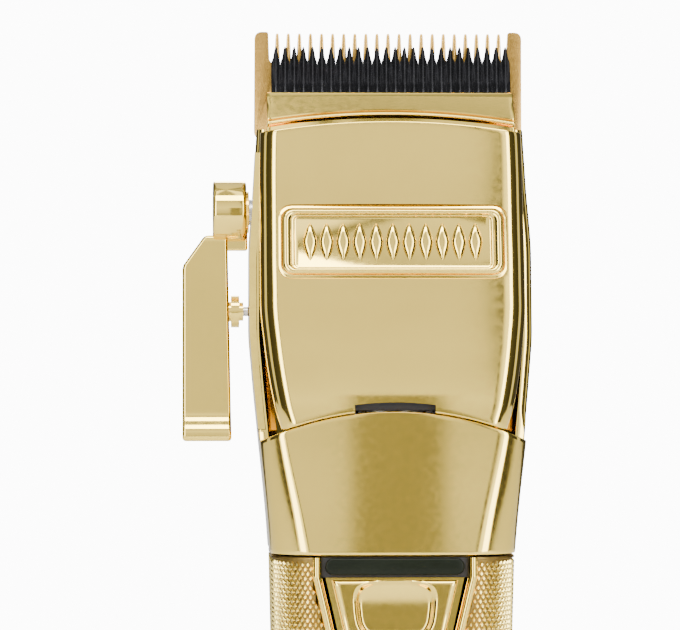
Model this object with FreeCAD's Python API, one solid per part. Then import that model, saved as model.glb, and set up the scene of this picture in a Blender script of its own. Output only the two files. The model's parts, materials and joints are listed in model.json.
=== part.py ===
"""Cordless hair clipper with a taper lever, in millimetres.

+Z runs up from the flat foot to the blade, -Y is the front, and the taper lever is on the -X side.
The origin is the centre of the flat foot.
"""
import FreeCAD, Part
import math
import os

V = FreeCAD.Vector
AXIS_X = V(1, 0, 0)
AXIS_Y = V(0, 1, 0)
AXIS_Z = V(0, 0, 1)

# ---------------------------------------------------------------- driving dimensions
TOTAL_LENGTH = 172.0
WALL = 1.6
GAP = 0.25

# Heights of the main breaks along the body.
CAP_TOP = 6.3
GRIP_TOP = 83.2
NECK_BOTTOM = 83.5
HEAD_TOP = 155.0
SHOULDER_LOW = (-9.0, 104.0)
SHOULDER_HIGH = (-2.5, 156.0)

# The outer form as stations: height, half width, front, rear, front radius, rear radius.
BODY_STATIONS = [
    (83.5, 20.6, -18.2, 17.5, 7.2, 9.0),
    (89.8, 21.1, -18.0, 17.4, 6.4, 9.0),
    (102.6, 22.4, -17.5, 16.8, 4.8, 8.5),
    (113.9, 23.5, -17.4, 16.0, 4.0, 8.0),
    (121.0, 24.0, -17.2, 15.5, 4.0, 7.5),
    (133.0, 24.0, -16.3, 13.0, 4.0, 6.0),
    (145.0, 23.25, -14.6, 8.6, 4.0, 3.0),
    (155.0, 22.7, -12.0, 7.8, 4.0, 2.5),
]
COVER_STATIONS = [
    (103.0, 18.4, -19.4, 6.0, 3.0, 1.0),
    (108.8, 20.1, -18.9, 6.0, 3.2, 1.0),
    (118.0, 21.6, -16.8, 6.0, 3.2, 1.0),
    (126.0, 22.3, -14.6, 6.0, 3.2, 1.0),
    (133.0, 22.3, -12.65, 6.0, 3.2, 1.0),
    (146.0, 22.3, -9.2, 6.0, 3.2, 1.0),
    (157.0, 22.1, -6.8, 6.0, 3.0, 1.0),
]
GRIP_STATIONS = [
    (CAP_TOP + 0.2, 19.8, -17.6, 16.8, 8.0, 9.0),
    (45.0, 19.8, -17.8, 17.0, 8.0, 9.0),
    (GRIP_TOP, 20.5, -18.2, 17.5, 7.4, 9.0),
]
CAP_STATIONS = [
    (0.0, 18.8, -16.6, 15.8, 7.0, 8.0),
    (1.4, 20.0, -17.8, 17.0, 8.0, 9.0),
    (CAP_TOP, 20.0, -17.8, 17.0, 8.0, 9.0),
]

# Arcs that end the front cover, seen from the front.
COVER_TOP_RADIUS = 128.0
COVER_TOP_HEIGHT = 156.3
WAIST_RADIUS = 53.3
WAIST_HEIGHT = 107.6

# Name plate.
PLATE_WIDTH = 38.8
PLATE_HEIGHT = 13.0
PLATE_RADIUS = 2.4
PLATE_CENTRE = V(0, -11.9, 135.8)
PLATE_TILT = -15.0

# Blades.
FIXED_HALF_WIDTH = 23.0
FIXED_TEETH = 21
FIXED_PITCH = 1.905
FIXED_FRONT = 3.2
FIXED_REAR = 6.1
CUTTER_TEETH = 26
CUTTER_PITCH = 1.577
CUTTER_TIP = 169.4
CUTTER_VALLEY = 167.2
CUTTER_REST_X = 0.4
BLADE_TRAVEL = 1.4

# Taper lever: the axis runs along X.
LEVER_Y = 2.5
LEVER_Z = 141.0
LEVER_SWING = 26.0
LEVER_THROW = BLADE_TRAVEL / 2.0 / math.sin(math.radians(LEVER_SWING / 2.0))
DETENT_REACH = 17.0
SHAFT_RADIUS = 2.2
CRANK_RADIUS = 1.3

# Drive.
MOTOR_Y = -2.1
MOTOR_RADIUS = 9.5
MOTOR_BASE = 95.6
MOTOR_TOP = 126.0
ECCENTRIC_OFFSET = 1.0
DRIVE_BEARING_RADIUS = 1.6

# Front strip with the window and the switch.
STRIP_FRONT = -19.0
STRIP_FLOOR = -17.0
STRIP_BACK = -15.5
STRIP_OUTLINE = [(13.7, GRIP_TOP), (13.7, 79.9), (6.0, 46.9), (6.0, CAP_TOP + 0.3)]
STRIP_SLOPE = (13.7 - 6.0) / (79.9 - 46.9)
STRIP_RIM = 1.5
CHANNEL_BOTTOM = 60.0
SWITCH_TOP = 79.4
SWITCH_BOTTOM = 65.5
SWITCH_TRAVEL = 3.0

# Battery.
CELL_RADIUS = 9.2
CELL_BASE = 15.5
CELL_LENGTH = 65.0

# Hanging loop in the foot.
LOOP_Y = 13.0
LOOP_Z = 1.4
LOOP_REACH = 9.0
LOOP_HALF_WIDTH = 6.0
LOOP_WIRE = 1.6
SOCKET_Y = -9.0
SOCKET_RADIUS = 3.0

# ---------------------------------------------------------------- helpers


def box(x0, x1, y0, y1, z0, z1):
    """Box between two opposite corners."""
    return Part.makeBox(x1 - x0, y1 - y0, z1 - z0, V(x0, y0, z0))


def rod(radius, start, length, axis):
    """Cylinder that starts at a point and runs along an axis."""
    return Part.makeCylinder(radius, length, start, axis)


def mirror_x(shape):
    """Copy of a shape on the other side of the middle plane."""
    return shape.mirror(V(0, 0, 0), AXIS_X)


def both_sides(shape):
    """A shape joined with its mirror image."""
    return shape.fuse(mirror_x(shape))


def extrude_outline(points, direction):
    """Closed polygon extruded along a vector."""
    return Part.Face(Part.makePolygon(points + [points[0]])).extrude(direction)


def prism_y(outline, y0, y1):
    """Outline of (x, z) points extruded from y0 to y1."""
    return extrude_outline([V(x, y0, z) for x, z in outline], V(0, y1 - y0, 0))


def prism_x(outline, x0, x1):
    """Outline of (y, z) points extruded from x0 to x1."""
    return extrude_outline([V(x0, y, z) for y, z in outline], V(x1 - x0, 0, 0))


def section_wire(z, half_width, front, rear, front_radius, rear_radius):
    """Rounded rectangle across the body at one height."""
    corners = [
        (half_width, front, front_radius, -90),
        (half_width, rear, rear_radius, 0),
        (-half_width, rear, rear_radius, 90),
        (-half_width, front, front_radius, 180),
    ]
    arcs = []
    for x, y, radius, start in corners:
        centre = V(x - math.copysign(radius, x), y + (radius if y == front else -radius), z)
        ends = []
        for turn in (0, 45, 90):
            angle = math.radians(start + turn)
            ends.append(centre + V(math.cos(angle), math.sin(angle), 0) * radius)
        arcs.append(ends)
    edges = []
    for index, ends in enumerate(arcs):
        following = arcs[(index + 1) % len(arcs)]
        edges.append(Part.Arc(*ends).toShape())
        edges.append(Part.LineSegment(ends[2], following[0]).toShape())
    return Part.Wire(edges)


def form(stations, inset=0.0):
    """Solid lofted through stations, moved inwards by an inset."""
    wires = []
    for z, half_width, front, rear, front_radius, rear_radius in stations:
        wires.append(section_wire(z, half_width - inset, front + inset, rear - inset,
                                  max(front_radius - inset, 0.6), max(rear_radius - inset, 0.6)))
    return Part.makeLoft(wires, True, True)


def stretched(stations, amount):
    """Stations whose two end sections are moved outwards, for a core that cuts right through."""
    first = (stations[0][0] - amount,) + stations[0][1:]
    last = (stations[-1][0] + amount,) + stations[-1][1:]
    return [first] + stations[1:-1] + [last]


def shell(stations, wall):
    """Open-ended tube lofted through stations."""
    return form(stations).cut(form(stretched(stations, 0.5), wall))


def front_disc(radius, top):
    """Cylinder along Y whose upper edge is an arc seen from the front."""
    return rod(radius, V(0, -40, top - radius), 80, AXIS_Y)


def rounded_plate(width, height, radius, depth):
    """Plate in the XZ plane with round corners, centred, from y = 0 to y = depth."""
    plate = Part.makeBox(width, depth, height, V(-width / 2, 0, -height / 2))
    upright = [edge for edge in plate.Edges if abs(edge.tangentAt(edge.FirstParameter).y) > 0.99]
    return plate.makeFillet(radius, upright)


def on_plate(shape):
    """Place a shape made about the origin onto the tilted front of the cover."""
    shape = shape.copy()
    shape.rotate(V(0, 0, 0), AXIS_X, PLATE_TILT)
    shape.translate(PLATE_CENTRE)
    return shape


def save(name, shape):
    """Write one node."""
    shape = shape.removeSplitter()
    if not shape.isValid():
        print("not valid:", name)
    shape.exportStep("parts/" + name + ".step")
    size = shape.BoundBox
    print("%-18s %2d solids %9.1f mm3  x %.1f..%.1f y %.1f..%.1f z %.1f..%.1f" % (
        name, len(shape.Solids), shape.Volume, size.XMin, size.XMax, size.YMin, size.YMax,
        size.ZMin, size.ZMax))


# ---------------------------------------------------------------- covers
# Screws that clamp the covers from the rear: x, height, rear surface there.
COVER_SCREWS = [(16.0, 120.0, 15.4), (-16.0, 120.0, 15.4), (16.0, 108.8, 16.2), (-16.0, 108.8, 16.2)]
NECK_SCREWS = [(14.0, 88.4, 17.2), (-14.0, 88.4, 17.2)]
POST_RADIUS = 2.6
POST_END = 3.0
SCREW_RADIUS = 1.2
SCREW_HEAD_RADIUS = 2.4
FLANGE_THICKNESS = 1.2


def behind_shoulder(gap):
    """Region behind the sloping shoulder where the front covers meet the rear shell."""
    low_y, low_z = SHOULDER_LOW
    high_y, high_z = SHOULDER_HIGH
    outline = [(low_y - gap, 70.0), (low_y - gap, low_z), (high_y - gap, high_z), (high_y - gap, 170.0),
               (40.0, 170.0), (40.0, 70.0)]
    return prism_x(outline, -30, 30)


def posts(screws, start):
    """Threaded posts on the inner side of a front cover."""
    shape = None
    for x, z, rear in screws:
        post = rod(POST_RADIUS, V(x, start, z), POST_END - start, AXIS_Y)
        shape = post if shape is None else shape.fuse(post)
    return shape


def post_holes(screws):
    """Screw holes in the posts."""
    shape = None
    for x, z, rear in screws:
        hole = rod(SCREW_RADIUS, V(x, -9.0, z), 15.0, AXIS_Y)
        shape = hole if shape is None else shape.fuse(hole)
    return shape


def make_front_cover():
    cover = shell(COVER_STATIONS, WALL)
    cover = cover.cut(behind_shoulder(GAP))
    inside = form(COVER_STATIONS, 0.5)
    cover = cover.fuse(posts(COVER_SCREWS, -18.5).common(inside))
    cover = cover.common(front_disc(COVER_TOP_RADIUS, COVER_TOP_HEIGHT))
    cover = cover.cut(front_disc(WAIST_RADIUS, WAIST_HEIGHT))
    recess = rounded_plate(PLATE_WIDTH, PLATE_HEIGHT, PLATE_RADIUS, 3.0)
    recess.translate(V(0, -2.2, 0))
    cover = cover.cut(on_plate(recess))
    for side in (-1, 1):
        cover = cover.cut(on_plate(rod(0.9, V(side * 13.0, -2.0, 0), 6.0, AXIS_Y)))
    return cover.cut(post_holes(COVER_SCREWS))


def make_name_plate():
    plate = rounded_plate(PLATE_WIDTH - 0.3, PLATE_HEIGHT - 0.3, PLATE_RADIUS - 0.15, 1.25)
    plate.translate(V(0, -0.45, 0))
    panel = rounded_plate(PLATE_WIDTH - 6.2, PLATE_HEIGHT - 4.8, 1.0, 1.0)
    panel.translate(V(0, -1.1, 0))
    plate = plate.cut(panel)
    for side in (-1, 1):
        plate = plate.fuse(rod(0.85, V(side * 13.0, 0.5, 0), 2.2, AXIS_Y))
    return on_plate(plate)


def make_neck_cover():
    stations = BODY_STATIONS[:4]
    neck = shell(stations, WALL)
    neck = neck.common(box(-30, 30, -30, 0, NECK_BOTTOM, 112)).cut(behind_shoulder(GAP))
    neck = neck.common(front_disc(WAIST_RADIUS - GAP, WAIST_HEIGHT - GAP))
    tongue = form(stations, 1.0).cut(form(stretched(stations, 0.5), 2.6))
    tongue = tongue.common(box(-13, 13, -30, -11, 102, 110.5))
    inside = form(stations, 0.5)
    neck_posts = posts(NECK_SCREWS, -17.5).common(inside)
    neck = neck.fuse(tongue).fuse(neck_posts)
    return neck.cut(post_holes(NECK_SCREWS))


# The plate that the lever's detent runs on, let into the side wall.
PLATE_THICKNESS = 1.2
PLATE_BASE = 104.2
PLATE_TOP = 151.0
PLATE_REAR = 6.0


def half_width_at(z):
    """Half width of the body at one height."""
    for low, high in zip(BODY_STATIONS, BODY_STATIONS[1:]):
        if low[0] <= z <= high[0]:
            share = (z - low[0]) / (high[0] - low[0])
            return low[1] + share * (high[1] - low[1])
    return BODY_STATIONS[-1][1]


def side_slab(outer, inner, margin, y0, y1):
    """Slab along the lever's side wall, between two depths below its surface."""
    base = PLATE_BASE - margin
    top = PLATE_TOP + margin
    heights = [base] + [station[0] for station in BODY_STATIONS if base < station[0] < top] + [top]
    outline = [(-half_width_at(z) + outer, z) for z in heights]
    outline += [(-half_width_at(z) + inner, z) for z in reversed(heights)]
    return prism_y(outline, y0, y1)


def make_rear_shell():
    left = box(-30, -10, -30, 30, 80, 160)
    hollow = form(stretched(BODY_STATIONS, 0.5), WALL)
    shifted = hollow.copy()
    shifted.translate(V(PLATE_THICKNESS, 0, 0))
    rear = form(BODY_STATIONS).cut(hollow.cut(left)).cut(shifted.common(left))
    for x, z, y in COVER_SCREWS + NECK_SCREWS:
        rear = rear.fuse(rod(3.5, V(x, POST_END + GAP, z), y - 0.8 - POST_END - GAP, AXIS_Y))
    rails = box(18.06, 22.2, 2.9, 6.2, 147.0, 152.0)
    rear = rear.fuse(both_sides(rails))
    rear = rear.common(behind_shoulder(0.0))
    flange = form(BODY_STATIONS, 0.4).common(behind_shoulder(0.0)).cut(behind_shoulder(-FLANGE_THICKNESS))
    flange = flange.common(box(-30, 30, -30, 30, 99.0, 134.0)).cut(box(-17.2, 17.2, -30, 30, 90, 140))
    for x, z, _ in COVER_SCREWS:
        flange = flange.cut(rod(POST_RADIUS + 0.3, V(x, -20, z), 40, AXIS_Y))
    rear = rear.fuse(flange).common(box(-30, 30, -30, 30, NECK_BOTTOM, HEAD_TOP))
    rear = rear.cut(side_slab(-2.0, PLATE_THICKNESS + 0.05, 0.1, -12.0, PLATE_REAR + 0.1))
    rear = rear.cut(box(-17.9, 17.9, 2.8, 30, 143.5, 160))
    rear = rear.cut(box(-30, 30, -0.3, 30, 151.6, 160))
    for x, z, y in COVER_SCREWS + NECK_SCREWS:
        rear = rear.cut(rod(SCREW_RADIUS + 0.3, V(x, 2, z), 30, AXIS_Y))
        rear = rear.cut(rod(SCREW_HEAD_RADIUS + 0.25, V(x, y - 2.3, z), 10, AXIS_Y))
    return rear.cut(rod(SHAFT_RADIUS + 0.05, V(-30, LEVER_Y, LEVER_Z), 12, AXIS_X))


def make_side_plate():
    plate = side_slab(0.0, PLATE_THICKNESS, 0.0, -12.0, PLATE_REAR).common(behind_shoulder(0.0))
    plate = plate.cut(rod(SHAFT_RADIUS + 0.3, V(-30, LEVER_Y, LEVER_Z), 12, AXIS_X))
    ring = rod(DETENT_REACH + 0.95, V(-30, LEVER_Y, LEVER_Z), 6.5, AXIS_X)
    ring = ring.cut(rod(DETENT_REACH - 0.95, V(-31, LEVER_Y, LEVER_Z), 9, AXIS_X))
    sweep = [(LEVER_Y, LEVER_Z), (LEVER_Y + 2.0, LEVER_Z - 25)]
    reach = math.tan(math.radians(LEVER_SWING + 3.0)) * 25
    sweep.append((LEVER_Y - reach, LEVER_Z - 25))
    return plate.cut(ring.common(prism_x(sweep, -31, -20)))


def make_housing_screws():
    screws = []
    for x, z, y in COVER_SCREWS + NECK_SCREWS:
        head = rod(SCREW_HEAD_RADIUS, V(x, y - 2.3, z), 1.6, AXIS_Y)
        slot = box(x - 1.8, x + 1.8, y - 1.3, y, z - 0.3, z + 0.3)
        shank = rod(SCREW_RADIUS, V(x, -6.0, z), y - 2.2 + 6.0, AXIS_Y)
        screws.append(head.fuse(shank).cut(slot).cut(slot.copy().mirror(V(x, 0, z), V(1, 0, 1))))
    return Part.makeCompound(screws)


# ---------------------------------------------------------------- grip and front strip
def strip_half_width(z):
    """Half width of the front strip at one height."""
    return min(STRIP_OUTLINE[0][0], max(STRIP_OUTLINE[2][0],
                                        STRIP_OUTLINE[1][0] - (STRIP_OUTLINE[1][1] - z) * STRIP_SLOPE))


def strip_shape(margin, bottom, top, y0, y1):
    """Strip outline moved inwards by a margin between two heights."""
    heights = [top] + [z for _, z in STRIP_OUTLINE[1:3] if bottom < z < top] + [bottom]
    right = [(strip_half_width(z) - margin, z) for z in heights]
    left = [(-x, z) for x, z in reversed(right)]
    return prism_y(right + left, y0, y1)


def make_grip_sleeve():
    sleeve = shell(GRIP_STATIONS, WALL)
    sleeve = sleeve.common(box(-30, 30, -30, 30, GRIP_STATIONS[0][0], GRIP_TOP))
    return sleeve.cut(strip_shape(-0.1, 0.0, 90.0, -30, -12))


def make_strip_frame():
    frame = strip_shape(0.1, CAP_TOP + 0.3, GRIP_TOP, STRIP_FRONT, STRIP_BACK)
    frame = frame.cut(strip_shape(STRIP_RIM, CHANNEL_BOTTOM, GRIP_TOP + 1, STRIP_FRONT - 1, STRIP_FLOOR))
    frame = frame.cut(box(-2.3, 2.3, -20, -10, 67.2 - SWITCH_TRAVEL, 76.8))
    return frame.cut(box(-10.8, 10.8, -20, -10, 80.5, 82.6))


def make_indicator_lens():
    lens = rounded_plate(23.2, 2.8, 1.35, 0.9)
    lens.translate(V(0, STRIP_FLOOR - 1.1, 81.6))
    return lens.fuse(box(-10.6, 10.6, STRIP_FLOOR - 0.3, STRIP_BACK, 80.7, 82.4))


def make_lens_seal():
    seal = rounded_plate(24.0, 3.1, 1.5, 0.6)
    seal.translate(V(0, STRIP_BACK + 0.02, 81.6))
    return seal.cut(box(-10.2, 10.2, -20, -10, 80.9, 82.2))


def make_power_switch():
    heights = [SWITCH_TOP, SWITCH_BOTTOM + 2.0, SWITCH_BOTTOM]
    margins = [3.1, 3.1, 5.0]
    right = [(strip_half_width(z) - margin, z) for z, margin in zip(heights, margins)]
    left = [(-x, z) for x, z in reversed(right)]
    thumb = prism_y(right + left, -20.4, STRIP_FLOOR - 0.1)
    scoop = rod(30.0, V(-20, -48.6, 74.0), 40, AXIS_X)
    stem = box(-2.0, 2.0, STRIP_FLOOR - 0.5, -14.6, 67.5, 76.5)
    return thumb.cut(scoop.common(box(-6.5, 6.5, -30, 0, 68.0, 78.4))).fuse(stem)


# ---------------------------------------------------------------- blades
BLADE_SCREW_X = 8.5
BLADE_SCREW_Z = 149.6
BLADE_BASE = 146.0
WIDE_BASE = 153.8
FIXED_ROOT = 164.0
CARRIER_FRONT = 0.9
CARRIER_REAR = 3.15


def tooth(x, pitch_width, tip_width, root, tip):
    """Outline of one tapered tooth."""
    return [(x - pitch_width / 2, root), (x + pitch_width / 2, root),
            (x + tip_width / 2, tip), (x - tip_width / 2, tip)]


def make_fixed_blade():
    half = FIXED_HALF_WIDTH
    wing = [(half, WIDE_BASE), (half, TOTAL_LENGTH - 1.0), (half - 1.0, TOTAL_LENGTH), (20.6, TOTAL_LENGTH),
            (20.4, 167.2), (19.7, 166.4), (19.7, WIDE_BASE)]
    blade = box(-18.0, 18.0, FIXED_FRONT, FIXED_REAR, BLADE_BASE, WIDE_BASE + 0.1)
    blade = blade.fuse(box(-half, half, FIXED_FRONT, FIXED_REAR, WIDE_BASE, FIXED_ROOT))
    blade = blade.fuse(both_sides(prism_y(wing, FIXED_FRONT, FIXED_REAR)))
    teeth = None
    for index in range(FIXED_TEETH):
        x = (index - (FIXED_TEETH - 1) / 2) * FIXED_PITCH
        one = prism_y(tooth(x, 1.15, 0.55, FIXED_ROOT - 0.2, TOTAL_LENGTH - 0.3), FIXED_FRONT, FIXED_REAR)
        teeth = one if teeth is None else teeth.fuse(one)
    blade = blade.fuse(teeth)
    bevel = [(FIXED_REAR + 1, 158.0), (FIXED_REAR, 158.0), (FIXED_FRONT + 1.0, TOTAL_LENGTH + 0.1),
             (FIXED_REAR + 1, TOTAL_LENGTH + 0.1)]
    blade = blade.cut(prism_x(bevel, -30, 30))
    for side in (-1, 1):
        blade = blade.cut(rod(1.5, V(side * BLADE_SCREW_X, 0, BLADE_SCREW_Z), 10, AXIS_Y))
    return blade


def make_cutter_blade():
    half = (CUTTER_TEETH - 1) / 2 * CUTTER_PITCH + 0.3
    blade = box(-half, half, 0.2, FIXED_FRONT - 0.05, 152.0, CUTTER_VALLEY)
    for index in range(CUTTER_TEETH):
        x = (index - (CUTTER_TEETH - 1) / 2) * CUTTER_PITCH
        outline = tooth(x, 0.95, 0.3, CUTTER_VALLEY - 0.1, CUTTER_TIP)
        blade = blade.fuse(prism_y(outline, 0.2, FIXED_FRONT - 0.05))
    slope = [(-1.0, 160.5), (0.2, 160.5), (FIXED_FRONT - 1.0, CUTTER_TIP + 0.1), (-1.0, CUTTER_TIP + 0.1)]
    blade = blade.cut(prism_x(slope, -30, 30))
    blade.translate(V(CUTTER_REST_X, 0, 0))
    return blade


def make_cutter_guide():
    reach = ECCENTRIC_OFFSET + DRIVE_BEARING_RADIUS + 0.1
    block = box(-6.5, 6.5, MOTOR_Y - reach - 0.8, 0.75, 145.0, 151.0)
    flange = box(-6.5, 6.5, -1.4, 0.15, 150.9, 156.0)
    play = reach + ECCENTRIC_OFFSET
    slot = box(-play, play, MOTOR_Y - reach, MOTOR_Y + reach, 144, 149.4)
    seat = box(-6.5, 6.5, 0.0, 0.75, 150.9, 151.9)
    guide = block.fuse(flange).fuse(seat).cut(slot)
    guide.translate(V(CUTTER_REST_X, 0, 0))
    return guide


def make_blade_cover():
    outline = [(-0.95, 161.4), (-1.8, 161.4), (-5.3, 157.6), (-5.3, 155.2), (-4.3, 155.2), (-4.3, 157.2),
               (-1.7, 160.0), (-0.95, 160.2)]
    plate = prism_x(outline, -21.0, 21.0)
    return plate.fuse(box(-18.4, 18.4, -5.3, -4.3, 151.6, 155.3))


def make_blade_carrier():
    plate = box(-14.0, 14.0, CARRIER_FRONT, CARRIER_REAR, 133.4, 151.6)
    plate = plate.cut(box(-5.5, 5.5, CARRIER_FRONT - 1, CARRIER_REAR + 1, 131, 144.0))
    lug = box(-18.6, -16.4, CARRIER_FRONT, 6.75, 138.4, 144.9)
    web = box(-16.5, -13.9, CARRIER_FRONT, CARRIER_REAR, 138.4, 144.9)
    crank_z = LEVER_Z + BLADE_TRAVEL / 2
    slot = box(-19, -16, 3.2, 7.0, crank_z - CRANK_RADIUS - 0.04, crank_z + CRANK_RADIUS + 0.04)
    carrier = plate.fuse(web).fuse(lug).cut(slot)
    for side in (-1, 1):
        carrier = carrier.cut(rod(1.3, V(side * BLADE_SCREW_X, 0, BLADE_SCREW_Z), 10, AXIS_Y))
    return carrier


def make_blade_screws():
    screws = []
    for side in (-1, 1):
        x = side * BLADE_SCREW_X
        head = rod(2.5, V(x, FIXED_REAR, BLADE_SCREW_Z), 1.3, AXIS_Y)
        shank = rod(1.25, V(x, CARRIER_FRONT + 0.2, BLADE_SCREW_Z), FIXED_REAR - CARRIER_FRONT - 0.1, AXIS_Y)
        slot = box(x - 2, x + 2, FIXED_REAR + 0.6, FIXED_REAR + 2, BLADE_SCREW_Z - 0.35, BLADE_SCREW_Z + 0.35)
        cross = slot.copy()
        cross.rotate(V(x, 0, BLADE_SCREW_Z), AXIS_Y, 90)
        screws.append(head.fuse(shank).cut(slot).cut(cross))
    return Part.makeCompound(screws)


def make_blade_spring():
    """Hairpin spring whose two legs press on the front of the cutter."""
    bar = rod(0.6, V(-9.6, -7.6, 139.0), 19.2, AXIS_X)
    spring = bar
    for side in (-1, 1):
        foot = V(side * 9.6, -7.6, 139.0)
        tip = V(side * 9.6, -0.75, 156.5)
        spring = spring.fuse(rod(0.6, foot, (tip - foot).Length, tip - foot))
        spring = spring.fuse(Part.makeSphere(0.6, foot))
        spring = spring.fuse(Part.makeSphere(0.85, tip))
    return spring


# ---------------------------------------------------------------- taper lever
BARREL_RADIUS = 5.35
BARREL_OUTER = -30.1
BARREL_INNER = -24.4
FLANGE_INNER = -23.95
ARM_OUTER = -35.3
ARM_INNER = -27.0
ARM_HALF_DEPTH = 2.5
ARM_TOP = 137.0
ARM_BOTTOM = 101.9
PLUNGER_RADIUS = 2.35
PIN_TIP = -23.62
CRANK_ANGLE = math.radians(LEVER_SWING / 2.0)


def make_taper_lever():
    centre = V(BARREL_OUTER, LEVER_Y, LEVER_Z)
    outline = [(ARM_OUTER, ARM_TOP - 5.3), (ARM_OUTER + 3.8, ARM_TOP), (ARM_INNER - 0.6, ARM_TOP),
               (ARM_INNER, 104.0), (ARM_INNER - 0.2, ARM_BOTTOM), (ARM_OUTER, ARM_BOTTOM)]
    arm = prism_y(outline, LEVER_Y - ARM_HALF_DEPTH, LEVER_Y + ARM_HALF_DEPTH)
    barrel = rod(BARREL_RADIUS, centre, BARREL_INNER - BARREL_OUTER, AXIS_X)
    flange = rod(3.6, V(BARREL_INNER - 0.1, LEVER_Y, LEVER_Z), FLANGE_INNER - BARREL_INNER + 0.1, AXIS_X)
    rib = box(-29.5, BARREL_INNER, LEVER_Y - 1.8, LEVER_Y + 1.8, 133.6, 138.0)
    lever = arm.fuse(barrel).fuse(flange).fuse(rib)
    lever = lever.cut(rod(3.4, centre, 1.7, AXIS_X))
    lever = lever.cut(rod(1.5, centre, 12, AXIS_X))
    detent_z = LEVER_Z - DETENT_REACH
    return lever.cut(rod(1.7, V(ARM_INNER - 3.2, LEVER_Y, detent_z), 6.0, AXIS_X))


def make_lever_screw():
    head = rod(3.3, V(BARREL_OUTER + 0.2, LEVER_Y, LEVER_Z), 1.5, AXIS_X)
    shank = rod(1.4, V(BARREL_OUTER + 1.6, LEVER_Y, LEVER_Z), 7.3, AXIS_X)
    slot = box(BARREL_OUTER - 1, BARREL_OUTER + 0.8, LEVER_Y - 4, LEVER_Y + 4, LEVER_Z - 0.4, LEVER_Z + 0.4)
    return head.fuse(shank).cut(slot)


def make_lever_cam():
    """Shaft through the side wall, its disc, and the crank pin that moves the blade carrier."""
    shaft = rod(SHAFT_RADIUS, V(FLANGE_INNER, LEVER_Y, LEVER_Z), 4.0, AXIS_X)
    disc = rod(LEVER_THROW + CRANK_RADIUS + 0.1, V(-20.3, LEVER_Y, LEVER_Z), 1.2, AXIS_X)
    crank = V(-19.2, LEVER_Y + LEVER_THROW * math.cos(CRANK_ANGLE), LEVER_Z + LEVER_THROW * math.sin(CRANK_ANGLE))
    cam = shaft.fuse(disc).fuse(rod(CRANK_RADIUS, crank, 3.0, AXIS_X))
    return cam.cut(rod(1.4, V(-30, LEVER_Y, LEVER_Z), 9.0, AXIS_X))


def make_lever_detent():
    """Threaded body of the spring plunger, screwed into the arm."""
    z = LEVER_Z - DETENT_REACH
    body = rod(1.7, V(ARM_INNER - 3.2, LEVER_Y, z), 3.2, AXIS_X)
    head = rod(PLUNGER_RADIUS + 0.4, V(ARM_INNER, LEVER_Y, z), 1.4, AXIS_X)
    neck = rod(1.6, V(ARM_INNER + 1.4, LEVER_Y, z), 0.7, AXIS_X)
    core = rod(1.15, V(ARM_INNER - 2.7, LEVER_Y, z), 6.5, AXIS_X)
    bore = rod(0.85, V(ARM_INNER + 1.1, LEVER_Y, z), 2.0, AXIS_X)
    core = core.common(box(-40, ARM_INNER + 1.2, -20, 20, 100, 150)).fuse(bore)
    return body.fuse(head).fuse(neck).cut(core)


def make_detent_pin():
    z = LEVER_Z - DETENT_REACH
    pin = rod(0.8, V(ARM_INNER - 0.3, LEVER_Y, z), PIN_TIP - 0.5 - ARM_INNER + 0.3, AXIS_X)
    tip = Part.makeCone(0.8, 0.3, 0.5, V(PIN_TIP - 0.5, LEVER_Y, z), AXIS_X)
    collar = rod(1.1, V(ARM_INNER - 0.3, LEVER_Y, z), 0.6, AXIS_X)
    return pin.fuse(tip).fuse(collar)


def helix_spring(radius, wire, start, length, turns, axis_turn):
    """Compression spring along Z, then turned to its place."""
    helix = Part.makeHelix(length / turns, length, radius)
    profile = Part.Wire([Part.Circle(V(radius, 0, 0), V(0, 1, 0), wire).toShape()])
    spring = Part.Wire(helix.Edges).makePipeShell([profile], True, True)
    spring.rotate(V(0, 0, 0), V(0, 1, 0), axis_turn)
    spring.translate(start)
    return spring


def make_detent_spring():
    z = LEVER_Z - DETENT_REACH
    return helix_spring(0.85, 0.18, V(ARM_INNER - 2.45, LEVER_Y, z), 1.4, 3.0, 90)


# ---------------------------------------------------------------- drive
BRACKET_TOP = MOTOR_TOP + 1.4
SHAFT_TOP = 141.6
DISC_BASE = 137.0
DISC_TOP = 141.8
PIN_TOP = 149.2
BEARING_BASE = 145.2
BEARING_TOP = 148.8


def make_motor_can():
    can = rod(MOTOR_RADIUS, V(0, MOTOR_Y, MOTOR_BASE), MOTOR_TOP - MOTOR_BASE, AXIS_Z)
    can = can.cut(rod(MOTOR_RADIUS - 1.0, V(0, MOTOR_Y, MOTOR_BASE + 2.0), MOTOR_TOP - MOTOR_BASE - 3.4, AXIS_Z))
    can = can.fuse(rod(3.0, V(0, MOTOR_Y, MOTOR_BASE - 1.5), 1.7, AXIS_Z))
    can = can.cut(rod(1.2, V(0, MOTOR_Y, MOTOR_BASE - 0.5), 40, AXIS_Z))
    for side in (-1, 1):
        can = can.cut(rod(1.0, V(side * 6.5, MOTOR_Y, MOTOR_TOP - 2), 4, AXIS_Z))
    return can


def make_motor_rotor():
    """Wound core and shaft."""
    core = rod(7.4, V(0, MOTOR_Y, MOTOR_BASE + 5.0), 20.0, AXIS_Z)
    for index in range(5):
        slot = box(-0.7, 0.7, 4.0, 8.0, MOTOR_BASE + 4, MOTOR_BASE + 27)
        slot.rotate(V(0, 0, 0), AXIS_Z, index * 72)
        slot.translate(V(0, MOTOR_Y, 0))
        core = core.cut(slot)
    return core.fuse(rod(1.15, V(0, MOTOR_Y, MOTOR_BASE - 0.3), SHAFT_TOP - MOTOR_BASE + 0.3, AXIS_Z))


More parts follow.
